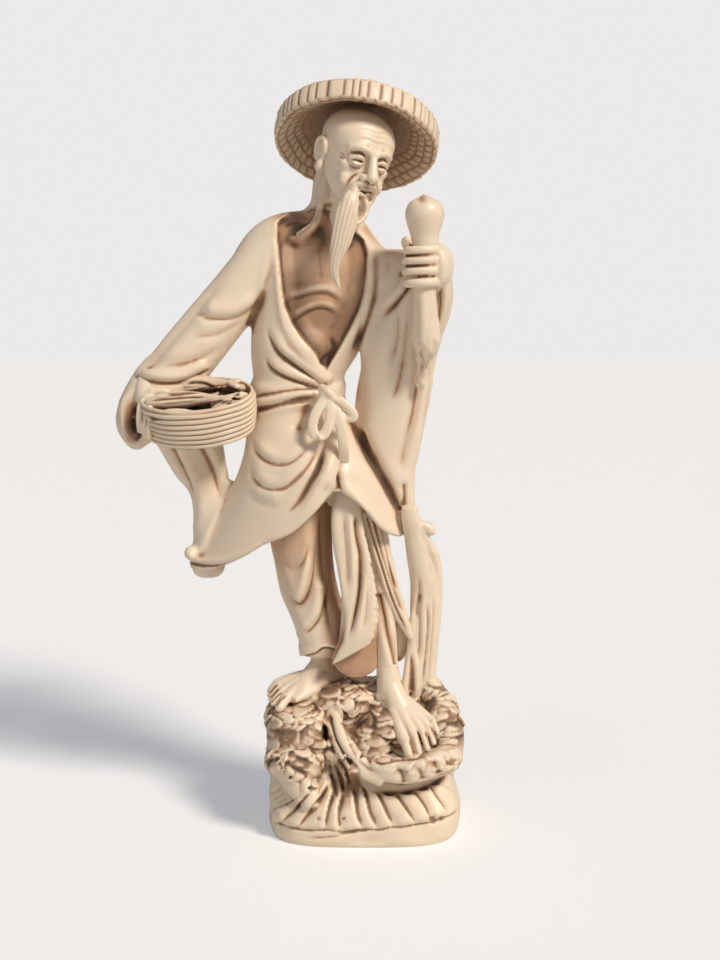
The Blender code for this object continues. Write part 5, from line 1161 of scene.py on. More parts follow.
def basket_rings():
    """Rings of the basket from under its floor, up seven coils, over the rim and down inside."""
    coils = 7
    outer = [(0.86 + 0.14 * math.sin(0.5 * math.pi * min(1.0, 0.25 + up)), 0.0, up, 1.0)
             for up in np.linspace(0.0, 1.0, 120)]
    rim = numbers("0.99,0.25,1.05,0 0.99,0.6,1.09,0 0.99,1.1,1.09,0 0.99,1.6,1.06,0 0.99,1.9,1,0")
    inner = [(0.92 + 0.07 * up, 2.0, up, 0.5) for up in np.linspace(0.97, 0.26, 30)]
    share, inset, up, rib = np.array([(0.80, 0.0, 0.0, 0.0), *outer, *rim, *inner, (0.5, 2.0, 0.24, 0.0)]).T
    rings, turn = ring_grid(share * BASKET_LENGTH / 2 - inset, share * BASKET_BREADTH / 2 - inset,
                            (up - 1.0) * BASKET_HEIGHT, 420)
    outward, _ = ring_grid(np.ones(1), np.ones(1), np.zeros(1), 420)
    wobble = 0.06 * ripple(turn, 3, 5.0 * up[:, None]) + 0.03 * ripple(turn, 8)
    band = up[:, None] * coils + wobble
    ribs = pillow(band, 2.6) * rib[:, None]
    tooled = 0.06 * np.sin(2 * math.pi * (turn * 90.0 + 0.6 * band)) * ribs
    within = (inset > 1.5)[:, None]
    rise = np.where(within, -0.5, 1.0) * (0.75 * ribs + tooled - 0.75 * (rib[:, None] > 0.9))
    # The inside is darker by a half: painted shade
    wash = np.where(rib[:, None] > 0.0, 0.42 * (1.0 - ribs) ** 1.5 + 0.05, 0.12) + 0.5 * within
    return rings + rise[..., None] * outward, wash


def basket_point(across, forward, up):
    """A place in the basket from shares of its half length, half breadth and height."""
    local = np.array((across * BASKET_LENGTH / 2, forward * BASKET_BREADTH / 2, (up - 1.0) * BASKET_HEIGHT))
    return placed(local[None], BASKET_CENTRE, BASKET_TURN)[0]


def fish_forms(nose, tail, girth, above, bend):
    """One fish: a tapering body that bows sideways, a forked tail, fins and a gill cover."""
    above, run = unit(above), tail - nose
    side = unit(np.cross(run, above))
    shares = np.array((0.0, 0.05, 0.18, 0.38, 0.58, 0.76, 0.88))
    wide = np.array((0.25, 0.62, 0.95, 1.0, 0.80, 0.46, 0.30)) * girth
    high = np.array((0.22, 0.56, 0.92, 1.04, 0.80, 0.44, 0.26)) * girth
    path = nose + shares[:, None] * run + bend * np.sin(math.pi * shares)[:, None] * side
    forms = [limb(np.column_stack([path, wide, high]), side, around=40)]
    root = path[-1]
    for turn in (-1.0, 1.0):
        tip = tail + turn * 1.15 * girth * side
        middle = 0.5 * (root + tip)
        forms.append(limb([(*root, 0.4 * girth, 0.25 * girth), (*middle, 0.52 * girth, 0.18 * girth),
                           (*tip, 0.22 * girth, 0.14 * girth)], side, steps=5, around=24))
    fin = path[3] + 0.8 * high[3] * above
    forms.append(limb([(*(fin - 0.16 * run), 0.10, 0.20), (*fin, 0.22, 0.24 * girth),
                       (*(fin + 0.18 * run), 0.10, 0.15)], side, steps=5, around=20))
    gill = path[2] + 0.30 * high[2] * above
    forms.append(ball(gill, (0.62 * girth, 0.62 * girth, 0.62 * girth), around=24))
    eye = path[1] + 0.55 * high[1] * above + 0.3 * wide[1] * side
    forms.append(ball(eye, (0.22 * girth,) * 3, around=16))
    return forms


def catch_clay(voxel):
    """Fish laid side by side, heads to the hand, one bent over the others, on a bed that fills the basket."""
    above = np.array(BASKET_TURN.to_3x3() @ Vector((0, 0, 1)))
    laid = numbers("""-0.76,-0.6,0.34,-0.68,0.92,2.5,0.8 -0.88,-0.2,0.66,-0.38,1.12,3,-1.4
        -0.84,0.18,0.34,0.04,1,2.8,1.6 -0.72,0.46,0.74,0.22,1.24,3.1,-1.8 -0.5,0.76,0.48,0.7,1.02,2.5,1
        0.26,-0.62,0.84,-0.22,1,1.7,0.6 0.86,0.34,0.3,0.6,1.02,1.7,0.6 0.9,-0.02,0.42,-0.1,1.04,1.7,-0.8""")
    forms = []
    for x0, y0, x1, y1, up, girth, bend in laid:
        nose, tail = basket_point(x0, y0, up - 0.10), basket_point(x1, y1, up - 0.04)
        forms += fish_forms(nose, tail, girth, above, bend)
    forms.append(ball(basket_point(0.0, 0.0, 0.50), (17.4, 13.6, 3.6), BASKET_TURN))
    clay = Clay(forms, voxel, soften=2)
    local = placed(clay.points - BASKET_CENTRE, (0, 0, 0), BASKET_TURN.inverted())
    # Painted shade low between the fish and at the end by the body, over an even wash
    gaps = 1.0 - step_up(local[:, 2], -2.6, 0.8)
    aft = step_up(local[:, 0], 4.0, 14.0)
    clay.wash = np.clip(0.16 + 0.80 * gaps + 0.35 * aft * (1.0 - step_up(local[:, 2], -1.5, 1.2)), 0.0, 1.0)
    # Ridges along the bodies and the dark gaps between them
    clay.draw("""
    crease 0.55 0.5 0.5 0.75 | -76.1,150.9 -71.5,151.6 -67,151.9 -62.2,152.3 -57.3,152.5 -52.8,152.6
    crease 0.6 0.6 0.5 0.85 | -70.1,153.5 -65.6,153.6 -61.4,154 -57.6,154.7 -54.1,155.7
    crease 0.7 0.7 0.5 0.9 | -62.4,156.9 -59,157.5 -55.5,157.3 -52.7,156.1 -50,155
    crease 0.55 0.5 0.5 0.75 | -54.9,149.1 -51.8,150.2 -48.6,150.9 -45.2,151.6 -41.7,151.9
    crease 0.45 0.25 0.5 0.3 | -74.3,152.3 -69.8,152.5 -65.3,152.8 -61.1,153.2
    crease 0.45 0.25 0.5 0.3 | -71.6,149.8 -66.7,150.2 -61.8,150.7 -57,151.1
    crease 0.45 0.25 0.5 0.3 | -65.2,155.5 -61.8,155.7 -58.3,156.2 -55.5,156.6
    crease 0.6 0.6 0.5 0.85 | -70.9,147.7 -66.8,146.9 -62.6,147.2 -58.4,147.9
    crease 1.1 1.2 0.5 0.95 | -48.6,156.4 -46.5,155.4 -44.4,154 -43.1,152.6
    """)
    return clay


# Hands, staff and the bow of the sash


FIST = np.array((18.3, -24.0, 197.5))


def right_hand_clay(voxel):
    """Wrist, the back of the hand over the basket's end, and fingers that hang in the cuff's mouth."""
    forms = [limb(numbers("""-73.2,-6,161.7,3.4,3.4 -73.9,-9,157.8,3.8,3.8 -73.5,-12,154.6,4.2,3.8
        -72.3,-14,152.1,4,3.2"""), (1, 0, 0)),
             ball((-72.2, -12.0, 152.6), (4.2, 6.4, 3.2))]
    hanging = ((numbers("-74.2,-17,152.6 -74.8,-19.6,150.5 -75.2,-20.2,146.9 -75.1,-19.2,142.8"), 1.12),
               (numbers("-72.7,-18,152.1 -73.2,-20.8,149.6 -73.5,-21.4,146 -73.4,-20.4,141.9"), 1.16),
               (numbers("-71.2,-19,151.5 -71.6,-22,149.1 -71.8,-22.6,145.5 -71.7,-21.6,141"), 1.2),
               (numbers("-73.4,-15,154.2 -71.4,-15,155.5 -68.7,-15,155.8 -66,-15,155.2"), 1.5),
               (numbers("-71.7,-18,152.4 -69.2,-19,153.1 -66.7,-20,152.9 -64.7,-20,151.9"), 1.3))
    for joints, radius in hanging:
        forms.append(finger(joints, radius, 0.85))
        forms.append(ball(joints[1], (1.12 * radius,) * 3, around=24))
    clay = Clay(forms, voxel, soften=2)
    clay.draw("""
    crease 0.5 0.4 0 0.6 | -76.4,150.9 -77.2,147.4 -77.5,142.5
    crease 0.5 0.4 0 0.6 | -74.9,150.2 -75.6,146.7 -75.9,141.1
    """)
    return clay


def left_fist_clay(voxel):
    """Back of the hand, four fingers stacked round the staff and the thumb's end above them."""
    forms = [limb([(*(FIST + (4.6, 9.0, -7.0)), 4.2, 3.8), (*(FIST + (4.6, 5.0, -3.0)), 5.2, 4.2),
                   (*(FIST + (4.2, 2.2, 0.0)), 6.2, 4.4)], (0, 0, 1)),
             ball(FIST + (6.0, 1.4, 0.0), (5.0, 4.6, 7.4)), ball(FIST + (6.4, -1.2, -0.4), (3.2, 3.2, 6.2))]
    # Each finger's joints round the staff: their angle, size and how far they stand out
    joints = numbers("""42,1.45,0.35 8,1.7,0.6 -24,1.66,0.1 -58,1.52,0 -92,1.54,0.1 -124,1.5,0.5
        -150,1.4,0.2 -172,1.2,0""")
    for place, reach in enumerate((4.9, 5.2, 5.2, 4.9)):
        x0, y0, z0 = FIST + (0.0, 0.0, (place - 1.5) * 3.5 + 0.2)
        stops = [(x0 + 0.3 + (reach + out) * math.cos(math.radians(turn)),
                  y0 + (reach - 0.3) * math.sin(math.radians(turn)),
                  z0 - 0.12 * k + 0.25 * math.sin(1.3 * place), size, 1.12 * size)
                 for k, (turn, size, out) in enumerate(joints)]
        forms.append(limb(stops, (0, 0, 1), 2.3, around=32))
        forms.append(ball(stops[-1][:3], (1.05, 1.15, 1.05), around=24))
    forms.append(finger([FIST + (-1.5, 4.0, 3.6), FIST + (-4.2, 1.2, 6.2), FIST + (-5.0, -1.6, 7.6),
                         FIST + (-4.4, -3.8, 8.2)], 1.55, 0.85))
    clay = Clay(forms, voxel, soften=1)
    for place in (-1, 0, 1):
        row = FIST[2] + 0.29 * place * 12.2 + 0.2
        path = [(x, row + 0.04 * (x - 20.0)) for x in (13.8, 16.5, 19.6, 22.6, 24.6)]
        clay.crease(path, 0.6, 0.3, 0.0, 0.8, 0.05, 0.35)
    for x0 in (23.4, 25.4):
        clay.crease([(x0, FIST[2] + 5.0), (x0 + 0.4, FIST[2]), (x0, FIST[2] - 5.0)], 0.6, 0.25, 0.0, 0.0)
    return clay


def staff_upper_clay(voxel):
    """The pointed knob and its neck, the gripped shaft, and the break with a sliver left below it."""
    rows = numbers("""220.4,0.4,0 220.1,1,0 219.5,1.7,0 218.8,3.2,0 217.7,5,0 215.6,6.1,0 213.2,6.35,0
        210.6,5.7,0 207.4,4.7,0.1 204.4,4.3,0.2 201,4,0.1 194,3.8,0 188,3.8,0.1 182,4,0.3 177,4.6,0.7
        173.6,5,0.9 171.2,4.4,1 168.6,3.2,0.6 165,1.9,-0.2 161,1.5,-0.2 158.4,1.7,-0.4 156.6,1.2,-0.4""")
    stops = [(19.6 + sway, -24.0 + 0.006 * max(0.0, 192.0 - z) ** 2 * 1.4, z, radius, radius)
             for z, radius, sway in rows]
    clay = Clay([limb(stops, (1, 0, 0), around=64)], voxel, soften=2)
    x, y, z = clay.points.T
    angle = np.arctan2(x - 20.5, -y - 20.0)
    facet = 0.16 * np.sin(angle * 7.0 + 0.05 * z) + 0.10 * np.sin(angle * 12.0 - 0.08 * z)
    clay.push(np.arange(len(x)), facet * step_up(192.0 - z, 0.0, 8.0))
    # Conchoidal facets of the break, each a shallow scoop
    torn = step_up(177.0 - z, 0.0, 4.0)
    scoop = np.maximum.reduce([np.sin(1.1 * x + 0.9 * z + 1.0), np.sin(-0.8 * x + 1.0 * z + 0.7 * y),
                               np.sin(1.5 * x - 0.5 * z)])
    clay.push(np.arange(len(x)), torn * (0.25 * scoop - 0.2))
    clay.draw("""
    crease 0.9 0.6 0.6 0.05 | 19,169.6 20.1,164.7 19.4,159.2
    """)
    clay.dab([(19.4, 219.8, 1.6, 0.8, -0.5, 0.0)])
    tip = clay.places() - np.array((19.6, 220.4))
    clay.add_wash_and_shade(0.6 * np.exp(-(tip**2).sum(1) / 1.6**2))
    return clay


def staff_lower_clay(voxel):
    """A gnarled root: a trunk with a side nub, a knuckle, and strands that part at a hollow in its foot."""
    trunk = numbers("""15.4,-12,116.2 16.1,-11,111.2 17.3,-9,105.6 19.1,-7,97.8 21,-5,88.9 21.4,-4,80.1
        21.1,-4,71.4 20.5,-3,62.5 20.6,-3,53.7 21,-2,44.6 21.8,-1,38.4""")
    sizes = (2.6, 3.1, 3.5, 4.3, 4.9, 5.2, 5.0, 4.8, 4.4, 4.0, 3.7)
    forms = [limb([(*p, size, 0.9 * size) for p, size in zip(trunk, sizes)], (1, 0, 0), 2.3)]
    forms.append(finger(numbers("18.2,-10,108.9 21,-10,108.9 23.1,-10,107.2"), 1.9, 1.0))
    forms.append(finger(numbers("""19.6,-10,107.5 22.2,-8,101.9 24.4,-6.5,97.4 25.5,-5.5,90.8 25.6,-5,81.7
        25,-5,72.7 24,-4,61.6 23.4,-3.6,48.8 23.2,-3,40.5"""), 1.9, 1.0))
    forms.append(finger(numbers("17.6,-5,70.2 16.5,-6,64 15.5,-6,56 14.5,-6,49.5 13.8,-6,44.4"), 1.7, 1.0))
    forms.append(finger(numbers("""18.9,-5,85.3 17.9,-6,77.6 17.2,-6.4,71.3 17.2,-6,65.8 18,-6,56.7
        18.8,-5,45.5"""), 1.7, 1.0))
    clay = Clay(forms, voxel, soften=4)
    clay.draw("""
    crease 0.9 0.9 0.5 0.22 | 22,81.3 22.7,73.3 22.1,62.4 20.8,47.7
    crease 0.8 0.7 0.5 0.18 | 24.1,84.9 24.8,75.1 23.9,62.4 22.6,45.9
    crease 0.9 0.7 0.5 0.14 | 19.1,91.4 19.5,80.6 19.6,66 19.3,55.8
    crease 0.9 0.7 0.4 0.14 | 20.2,83.8 18.8,78.4 18.8,73.3
    crease 1.4 0.5 0.4 0.06 | 22.2,99.3 23.3,92.8 23.7,87.8
    crease 1.1 1.1 0.2 0.3 | 16.4,62.4 17.1,55.1 17.2,44
    """)
    return clay


def bow_clay(voxel):
    """Knot, hanging loop, side loop and the tails."""
    knot = (-12.5, -17.0, 154.7)
    forms = [ball(knot, (3.0, 2.6, 2.8)),
             finger(numbers("-14.2,-16,156.9 -12.4,-18.5,156.1 -10.8,-18.5,154.4 -10.5,-17,152.6"), 1.5, 1.0)]

    def strap(points, wide, deep):
        rows = [(*p, wide, deep) for p in points]
        forms.append(limb(rows, (1, 0, 0), 2.4, around=32))

    strap(numbers("""-12.4,-18,154.4 -14.8,-19.4,151.2 -16.7,-20.6,147.3 -17.2,-21.2,143.6 -16.1,-21.4,141.3
        -13.7,-21,141.6 -12.1,-20.6,144.3 -11.3,-20,148.2 -11.4,-19,151.8 -12.1,-18,154.1"""), 1.75, 1.0)
    strap(numbers("""-11.8,-17.5,154 -9.1,-18.8,153.5 -6.4,-19.4,151.8 -4.1,-19.6,149.5 -3.4,-19.4,147.5
        -5.1,-19.2,146.8 -7.8,-18.8,148.4 -9.8,-18.6,151.1 -11.4,-17.5,153.4"""), 1.5, 1.0)
    strap(numbers("""-11.4,-18,153.4 -9.4,-19.5,149.2 -7.7,-20.2,143.9 -6.9,-19.6,137.8 -6.8,-17,132.7
        -7.2,-12,127.3"""), 1.9, 0.9)
    return Clay(forms, voxel, soften=2)


# Head


HEAD_CENTRE = np.array((-3.0, -9.5, 233.4))
HEAD_SCALE = np.array((0.97, 0.97, 0.87))
HEAD_TURN = turned(("Y", 13.0), ("Z", 28.0), ("X", 8.0))
BEARD = numbers("""-4,-22.5,220.8,2.4,1.8 -5,-23.5,217.3,3.3,2.2 -6.1,-24,212.5,4,2.4 -7.9,-24,204.8,3.3,2.1
    -9.4,-23.5,199.6,2.2,1.6 -9.8,-22.5,194.5,1.6,1.2 -8,-21.5,189.9,0.5,0.5""")


def head_forms():
    """A bald old head on canon proportions, in its own frame: its face to -Y, its middle at the origin."""
    skull = numbers("""-17.4,-3.2,3.2,-11,-5 -16.2,-5.4,5.4,-12.4,-1 -13.6,-7.2,7.2,-12.7,3
        -10,-8.8,8.8,-12.7,7 -6,-10.2,10.2,-12.4,10.5 0,-11.3,11.3,-12,13.6 5,-12.1,12.1,-13,15
        9.5,-11.9,11.9,-12,14.6 13.6,-9.8,9.8,-9,12 16.2,-6.6,6.6,-5.4,8.4 17.6,-2.6,2.6,-1.4,4.4""")
    forms = [levels(skull, 2.15),
             limb(numbers("""-8.6,-9.8,3.2,1,0.9 -5.6,-12.3,4.5,1.3,1.1 -2.2,-13.3,4,1.2,1.2
                 0,-13.2,3.2,1.2,1.2 2.2,-13.3,4,1.2,1.2 5.6,-12.3,4.5,1.3,1.1
                 8.6,-9.8,3.2,1,0.9"""), (0, 0, 1)),
             limb(numbers("""0,-12.6,3.6,1.5,1.2 0,-14.2,0.6,1.45,1.4 0,-16,-3,1.8,1.7 0,-17.2,-5.2,2,1.7
                 0,-16.4,-6.4,1.2,1"""), (1, 0, 0)),
             ball((0.0, -12.0, -14.8), (3.6, 2.6, 2.6)), ball((0.0, -11.4, -9.6), (4.6, 2.6, 3.4))]
    for side in (-1.0, 1.0):
        section, point = (side, 1, 1, 1, 1), (side, 1, 1)
        # Wing of the nose, cheek, jowl and eyeball
        forms += balls(numbers("""2.1,-14.7,-5.6,1.5,1.9,1.4 6.6,-8.4,-3.2,2.8,2.4,2.4 6,-9.6,-8.6,2.6,2.2,3.4
            4.8,-10,-0.1,2.7,2.5,2.3""") * (*section, 1))
        # Lids, upper and lower
        forms += [limb(numbers(lid) * section, (0, 0, 1), around=24) for lid in (
            "2.3,-12,-0.4,0.5,0.6 3.5,-12.6,0.9,0.7,0.7 5.2,-12.4,1.1,0.75,0.7 7.3,-10.8,-0.1,0.5,0.6",
            "2.3,-12,-0.6,0.4,0.5 3.8,-12.4,-1.5,0.5,0.55 5.6,-12,-1.6,0.5,0.55 7.3,-10.7,-0.3,0.4,0.5")]
        # Ear: its body, the rim, the inner fold and the long lobe; then the moustache from under the nose
        forms += [
            ball((side * 11.8, 1.6, -1.8), (1.1, 2.6, 5.0)),
            finger(numbers("11.9,-0.9,-1.4 12.7,-0.7,1.8 13.1,1.4,3.6 13.3,3.7,2.4 13.1,4.2,-1 12.6,2.6,-4.4")
                   * point, 0.85, 1.0),
            finger(numbers("12.4,2.4,1.2 12.7,2.5,-1.4 12.3,1,-3.2") * point, 0.6, 1.0),
            ball((side * 12.2, 0.6, -6.6), (1.1, 1.7, 2.5)),
            limb(numbers("""0.5,-15,-7.6,0.8,0.8 2.4,-14.6,-8,1.05,1 4.3,-13.4,-9.6,1.05,1
                4.9,-12.9,-12.4,0.95,0.9 3.9,-13,-15.4,0.8,0.8 2.4,-13.4,-18,0.6,0.6""") * section,
                 (1, 0, 0), around=24)]
    forms += [limb(numbers("""-3.3,-13,-10.1,0.5,0.5 -1.5,-14,-9.7,0.75,0.7 0,-14.2,-9.9,0.75,0.75
        1.5,-14,-9.7,0.75,0.7 3.3,-13,-10.1,0.5,0.5"""), (0, 0, 1), around=24),
              limb(numbers("-2.8,-12.9,-10.9,0.5,0.5 0,-13.9,-11.5,0.95,0.8 2.8,-12.9,-10.9,0.5,0.5"),
                   (0, 0, 1), around=24)]
    return forms


def head_clay(voxel):
    """The head turned into place, with the beard and the neck, softened and lined."""
    forms = [(placed(points * HEAD_SCALE, HEAD_CENTRE, HEAD_TURN), faces) for points, faces in head_forms()]
    forms.append(limb(BEARD, (1, 0, 0), steps=8, around=64))
    forms.append(finger(numbers("""-3.3,-22.6,221.5 -1.1,-21.5,220.6 0.6,-20.5,218.4 0.9,-20.5,215.2
        -0.4,-21.5,212.6 -2.4,-22.5,210.9"""), 1.05, 0.7))
    neck = numbers("""-8.4,3,201,4,3.6 -8,1,207,5.8,5.4 -7.2,-1,214,6.5,6.6 -5.8,-2,222,6.4,6.6
        -3.4,-3.6,230,6.6,7""")
    forms.append(limb(neck, (1, 0, 0)))
    clay = Clay(forms, voxel, soften=2)
    local = placed(clay.points - HEAD_CENTRE, (0, 0, 0), HEAD_TURN.inverted()) / HEAD_SCALE
    # Cheeks, temples and jaw run into each other; lids, nose and lips keep their edges
    wide, deep, tall = np.abs(local[:, 0]), local[:, 1], local[:, 2]
    cheek = step_up(wide, 3.0, 5.0) * step_up(-tall, 1.8, 3.4) * step_up(8.4 - deep, 0.0, 2.0)
    brow = step_up(tall, 2.0, 3.6) * (deep < 0.0)
    soft = np.clip(cheek + brow, 0.0, 1.0) * (wide < 11.0) * (clay.points[:, 1] > -30.0)
    clay.relax(36, 0.5, soft)
    local = placed(clay.points - HEAD_CENTRE, (0, 0, 0), HEAD_TURN.inverted()) / HEAD_SCALE
    facing = -(clay.normal @ np.array(HEAD_TURN.to_3x3()))[:, 1]
    every = np.arange(len(local))

    def line(path, width, depth, wash):
        """A crease drawn on the face from in front, in the head's own frame."""
        far, _, share = nearest(through(path, 6), local[:, [0, 2]])
        fade = np.sin(math.pi * np.clip(share, 0.02, 0.98)) ** 0.6 * step_up(facing, 0.0, 0.3)
        fade *= local[:, 1] < -4.0
        clay.add_wash_and_shade(wash * fade * np.exp(-((far / width) ** 2)))
        clay.push(every, -depth * fade * np.exp(-((far / width) ** 1.6)))

    # Between the lids, over and under them, from the nose to the mouth, at the eye's corner twice,
    # the nostril and the temple: each with its width, depth and wash
    for side in (-1.0, 1.0):
        for path, *sizes in (("2.5,-0.5 4,-0.35 5.6,-0.4 7.2,-0.9", 0.35, 0.55, 0.8),
                             ("2.2,1.6 4.6,2.6 7.4,1.5", 0.5, 0.45, 0.4),
                             ("2.6,-2.6 4.8,-3.3 7,-2.6", 0.5, 0.35, 0.3),
                             ("2.9,-4.6 4.6,-6.6 5.7,-9.4 5.6,-11.6", 0.6, 0.6, 0.5),
                             ("8,-0.4 9.6,0.5", 0.3, 0.25, 0.3), ("8,-1 9.7,-1.1", 0.3, 0.25, 0.3),
                             ("1,-6.9 1.9,-6.6", 0.55, 0.8, 0.9), ("2.4,5.2 3.4,6.2", 0.4, 0.25, 0.2)):
            line(numbers(path) * (side, 1), *sizes)
    line(numbers("-3.6,-10.7 -1.6,-10.5 0,-10.8 1.6,-10.5 3.6,-10.7"), 0.35, 0.7, 0.9)
    line(numbers("-2,-13 0,-12.8 2,-13"), 0.6, 0.4, 0.3)
    for height in (7.4, 9.4, 11.2):
        line(numbers("-6.4,0 -3,0.7 0,0.2 3,0.7 6.4,0") + (0.0, height), 0.5, 0.22, 0.2)
    # Hair of the beard and moustache
    rows, far, side, share = clay.near(seen(BEARD[:, :3]), 5.0, within=clay.points[:, 1] < -19.0)
    strand = np.cos(2.0 * math.pi * (far * side) / (0.95 + 0.75 * (1.0 - share)) + 1.6 * np.sin(4.0 * share))
    inside_beard = step_up(share, 0.02, 0.10) * step_up(4.6 - far, 0.0, 0.8)
    clay.add_wash_and_shade(0.16 * inside_beard * step_up(-strand, 0.2, 1.0), rows)
    clay.push(rows, 0.10 * strand * inside_beard)
    return clay


# Pieces


def piece(name, points, quads, wash, slot, finish, *stands_for, triangles=(), normals=None):
    """Writes a closed skin with its wash and painted shade, and rides it on the figure in place of CAD nodes.
    """
    corners = points[quads]
    faces = np.cross(corners[:, 2] - corners[:, 0], corners[:, 3] - corners[:, 1])
    if (corners.mean(axis=1) * faces).sum() < 0.0:
        quads = quads[:, ::-1]
    mesh = mesh_of(name, points, quads, triangles)
    mesh.shade_smooth()
    if normals is not None:
        mesh.normals_split_custom_set_from_vertices(normals.tolist())
    layer = mesh.attributes.new("wash", "FLOAT", "POINT")
    layer.data.foreach_set("value", np.clip(wash, 0.0, 1.0).astype(np.float32))
    obj = bpy.data.objects.new(name, mesh)
    bpy.context.scene.collection.objects.link(obj)
    mesh.materials.append(finish)
    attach(obj, "root")
    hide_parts(*stands_for)


def cut_out(clay, chosen):
    """One casting out of a carved skin: the rows of its points, its quads, and triangles over each cut.

    An edge that only one of its quads uses lies on a cut. Each run of such edges is closed with
    triangles to the middle of the run, which is added after the other points."""
    quads = clay.quads[chosen]
    rows, quads = np.unique(quads, return_inverse=True)
    quads = quads.reshape(-1, 4)
    starts, ends = quads.ravel(), np.roll(quads, -1, axis=1).ravel()
    size = len(rows)
    keys = np.minimum(starts, ends).astype(np.int64) * size + np.maximum(starts, ends)
    _, where, uses = np.unique(keys, return_inverse=True, return_counts=True)
    open_edges = uses[where] == 1
    after = {}
    for start, end in zip(starts[open_edges].tolist(), ends[open_edges].tolist()):
        after.setdefault(start, []).append(end)
    hubs, triangles = [], []
    while after:
        first = next(iter(after))
        run, here = [first], first
        while here in after:
            there = after[here].pop()
            if not after[here]:
                del after[here]
            if there == first:
                break
            run.append(there)
            here = there
        hub = size + len(hubs)
        hubs.append(run)
        triangles += [(b, a, hub) for a, b in zip(run, run[1:] + run[:1])]
    return rows, quads, hubs, triangles


def garment_pieces(clay, wash, slot, finish):
    """The robe and both sleeves, cut apart and closed, with the normals of the skin they share."""
    for name, chosen in castings(clay).items():
        rows, quads, hubs, triangles = cut_out(clay, chosen)
        middles = np.array([clay.points[rows[run]].mean(axis=0) for run in hubs]).reshape(-1, 3)
        normals = np.array([clay.normal[rows[run]].mean(axis=0) for run in hubs]).reshape(-1, 3)
        piece(name + "_look", np.concatenate([clay.points[rows], middles]), quads,
              np.concatenate([wash[rows], np.ones(len(hubs))]), slot, finish, name, triangles=triangles,
              normals=unit(np.concatenate([clay.normal[rows], normals])))


def hollow_wash_and_shade(clay, fine, broad):
    """Wash and painted shade from the strokes, with wash in every small hollow and wash and painted shade in
    every wide hollow, less what is worn.
    """
    small = clay.cavity(5, 0.16)
    wide = clay.cavity(40, 1.5)
    gathered = fine * 0.45 * step_up(small, 0.10, 1.0) + broad * 0.5 * step_up(wide, 0.05, 1.0)
    worn = 0.30 * step_up(-small, 0.1, 1.0)
    return np.clip(0.85 * clay.wash + gathered - worn, 0.0, 1.0)


# Materials, light and camera


AMBIENT = 0.26
FLOOR_GLOW = 0.28
BACKDROP = "ECEAE8"


def linear(code):
    """The linear colour of an sRGB hex code."""
    values = [int(code[k : k + 2], 16) / 255.0 for k in (0, 2, 4)]
    return (*[v / 12.92 if v <= 0.04045 else ((v + 0.055) / 1.055) ** 2.4 for v in values], 1.0)


def node(tree, kind, inputs=None, **settings):
    """Adds a shader node; an input is given as a socket to link or as a value."""
    made = tree.nodes.new("ShaderNode" + kind)
    for key, value in settings.items():
        setattr(made, key, value)
    for key, value in (inputs or {}).items():
        if isinstance(value, bpy.types.NodeSocket):
            tree.links.new(value, made.inputs[key])
        else:
            made.inputs[key].default_value = value
    return made


def mixed(tree, share, first, second):
    return node(tree, "Mix", {0: share, 6: first, 7: second}, data_type="RGBA").outputs[2]


def resin(name, pale, warm, dark, roughness):
    """Cast resin: a pale waxy body, a warm tone where the wash and painted shade thin out, and dark where
    they are thick.
    """
    made = bpy.data.materials.new(name)
    made.use_nodes = True
    tree = made.node_tree
    shader = tree.nodes["Principled BSDF"]
    place = node(tree, "TexCoord").outputs["Object"]
    cloud = node(tree, "TexNoise", {"Vector": place, "Scale": 70.0, "Detail": 3.0, "Roughness": 0.55})
    speck = node(tree, "TexNoise", {"Vector": place, "Scale": 900.0, "Detail": 2.0})
    wash = node(tree, "Attribute", attribute_name="wash").outputs["Fac"]
    stirred = node(tree, "Math", {0: cloud.outputs["Fac"], 1: 0.30, 2: -0.15}, operation="MULTIPLY_ADD")
    spread = node(tree, "Math", {0: wash, 1: stirred.outputs[0]}, operation="ADD")
    thin = node(tree, "MapRange", {"Value": spread.outputs[0], 1: 0.02, 2: 0.45, 3: 0.0, 4: 1.0})
    thick = node(tree, "MapRange", {"Value": spread.outputs[0], 1: 0.35, 2: 1.05, 3: 0.0, 4: 1.0})
    body = mixed(tree, thin.outputs[0], linear(pale), linear(warm))
    colour = mixed(tree, thick.outputs[0], body, linear(dark))
    tree.links.new(colour, shader.inputs["Base Color"])
    ends = {3: roughness, 4: roughness + 0.25}
    rough = node(tree, "MapRange", {"Value": spread.outputs[0], 1: 0.0, 2: 1.0, **ends})
    tree.links.new(rough.outputs[0], shader.inputs["Roughness"])
    shader.inputs["Subsurface Weight"].default_value = 0.25
    shader.inputs["Subsurface Radius"].default_value = (1.0, 0.55, 0.3)
    shader.inputs["Subsurface Scale"].default_value = 0.0025
    shader.inputs["Specular IOR Level"].default_value = 0.45
    bump = node(tree, "Bump", {"Height": speck.outputs["Fac"], "Strength": 0.05, "Distance": 0.0002})
    tree.links.new(bump.outputs[0], shader.inputs["Normal"])
    return made


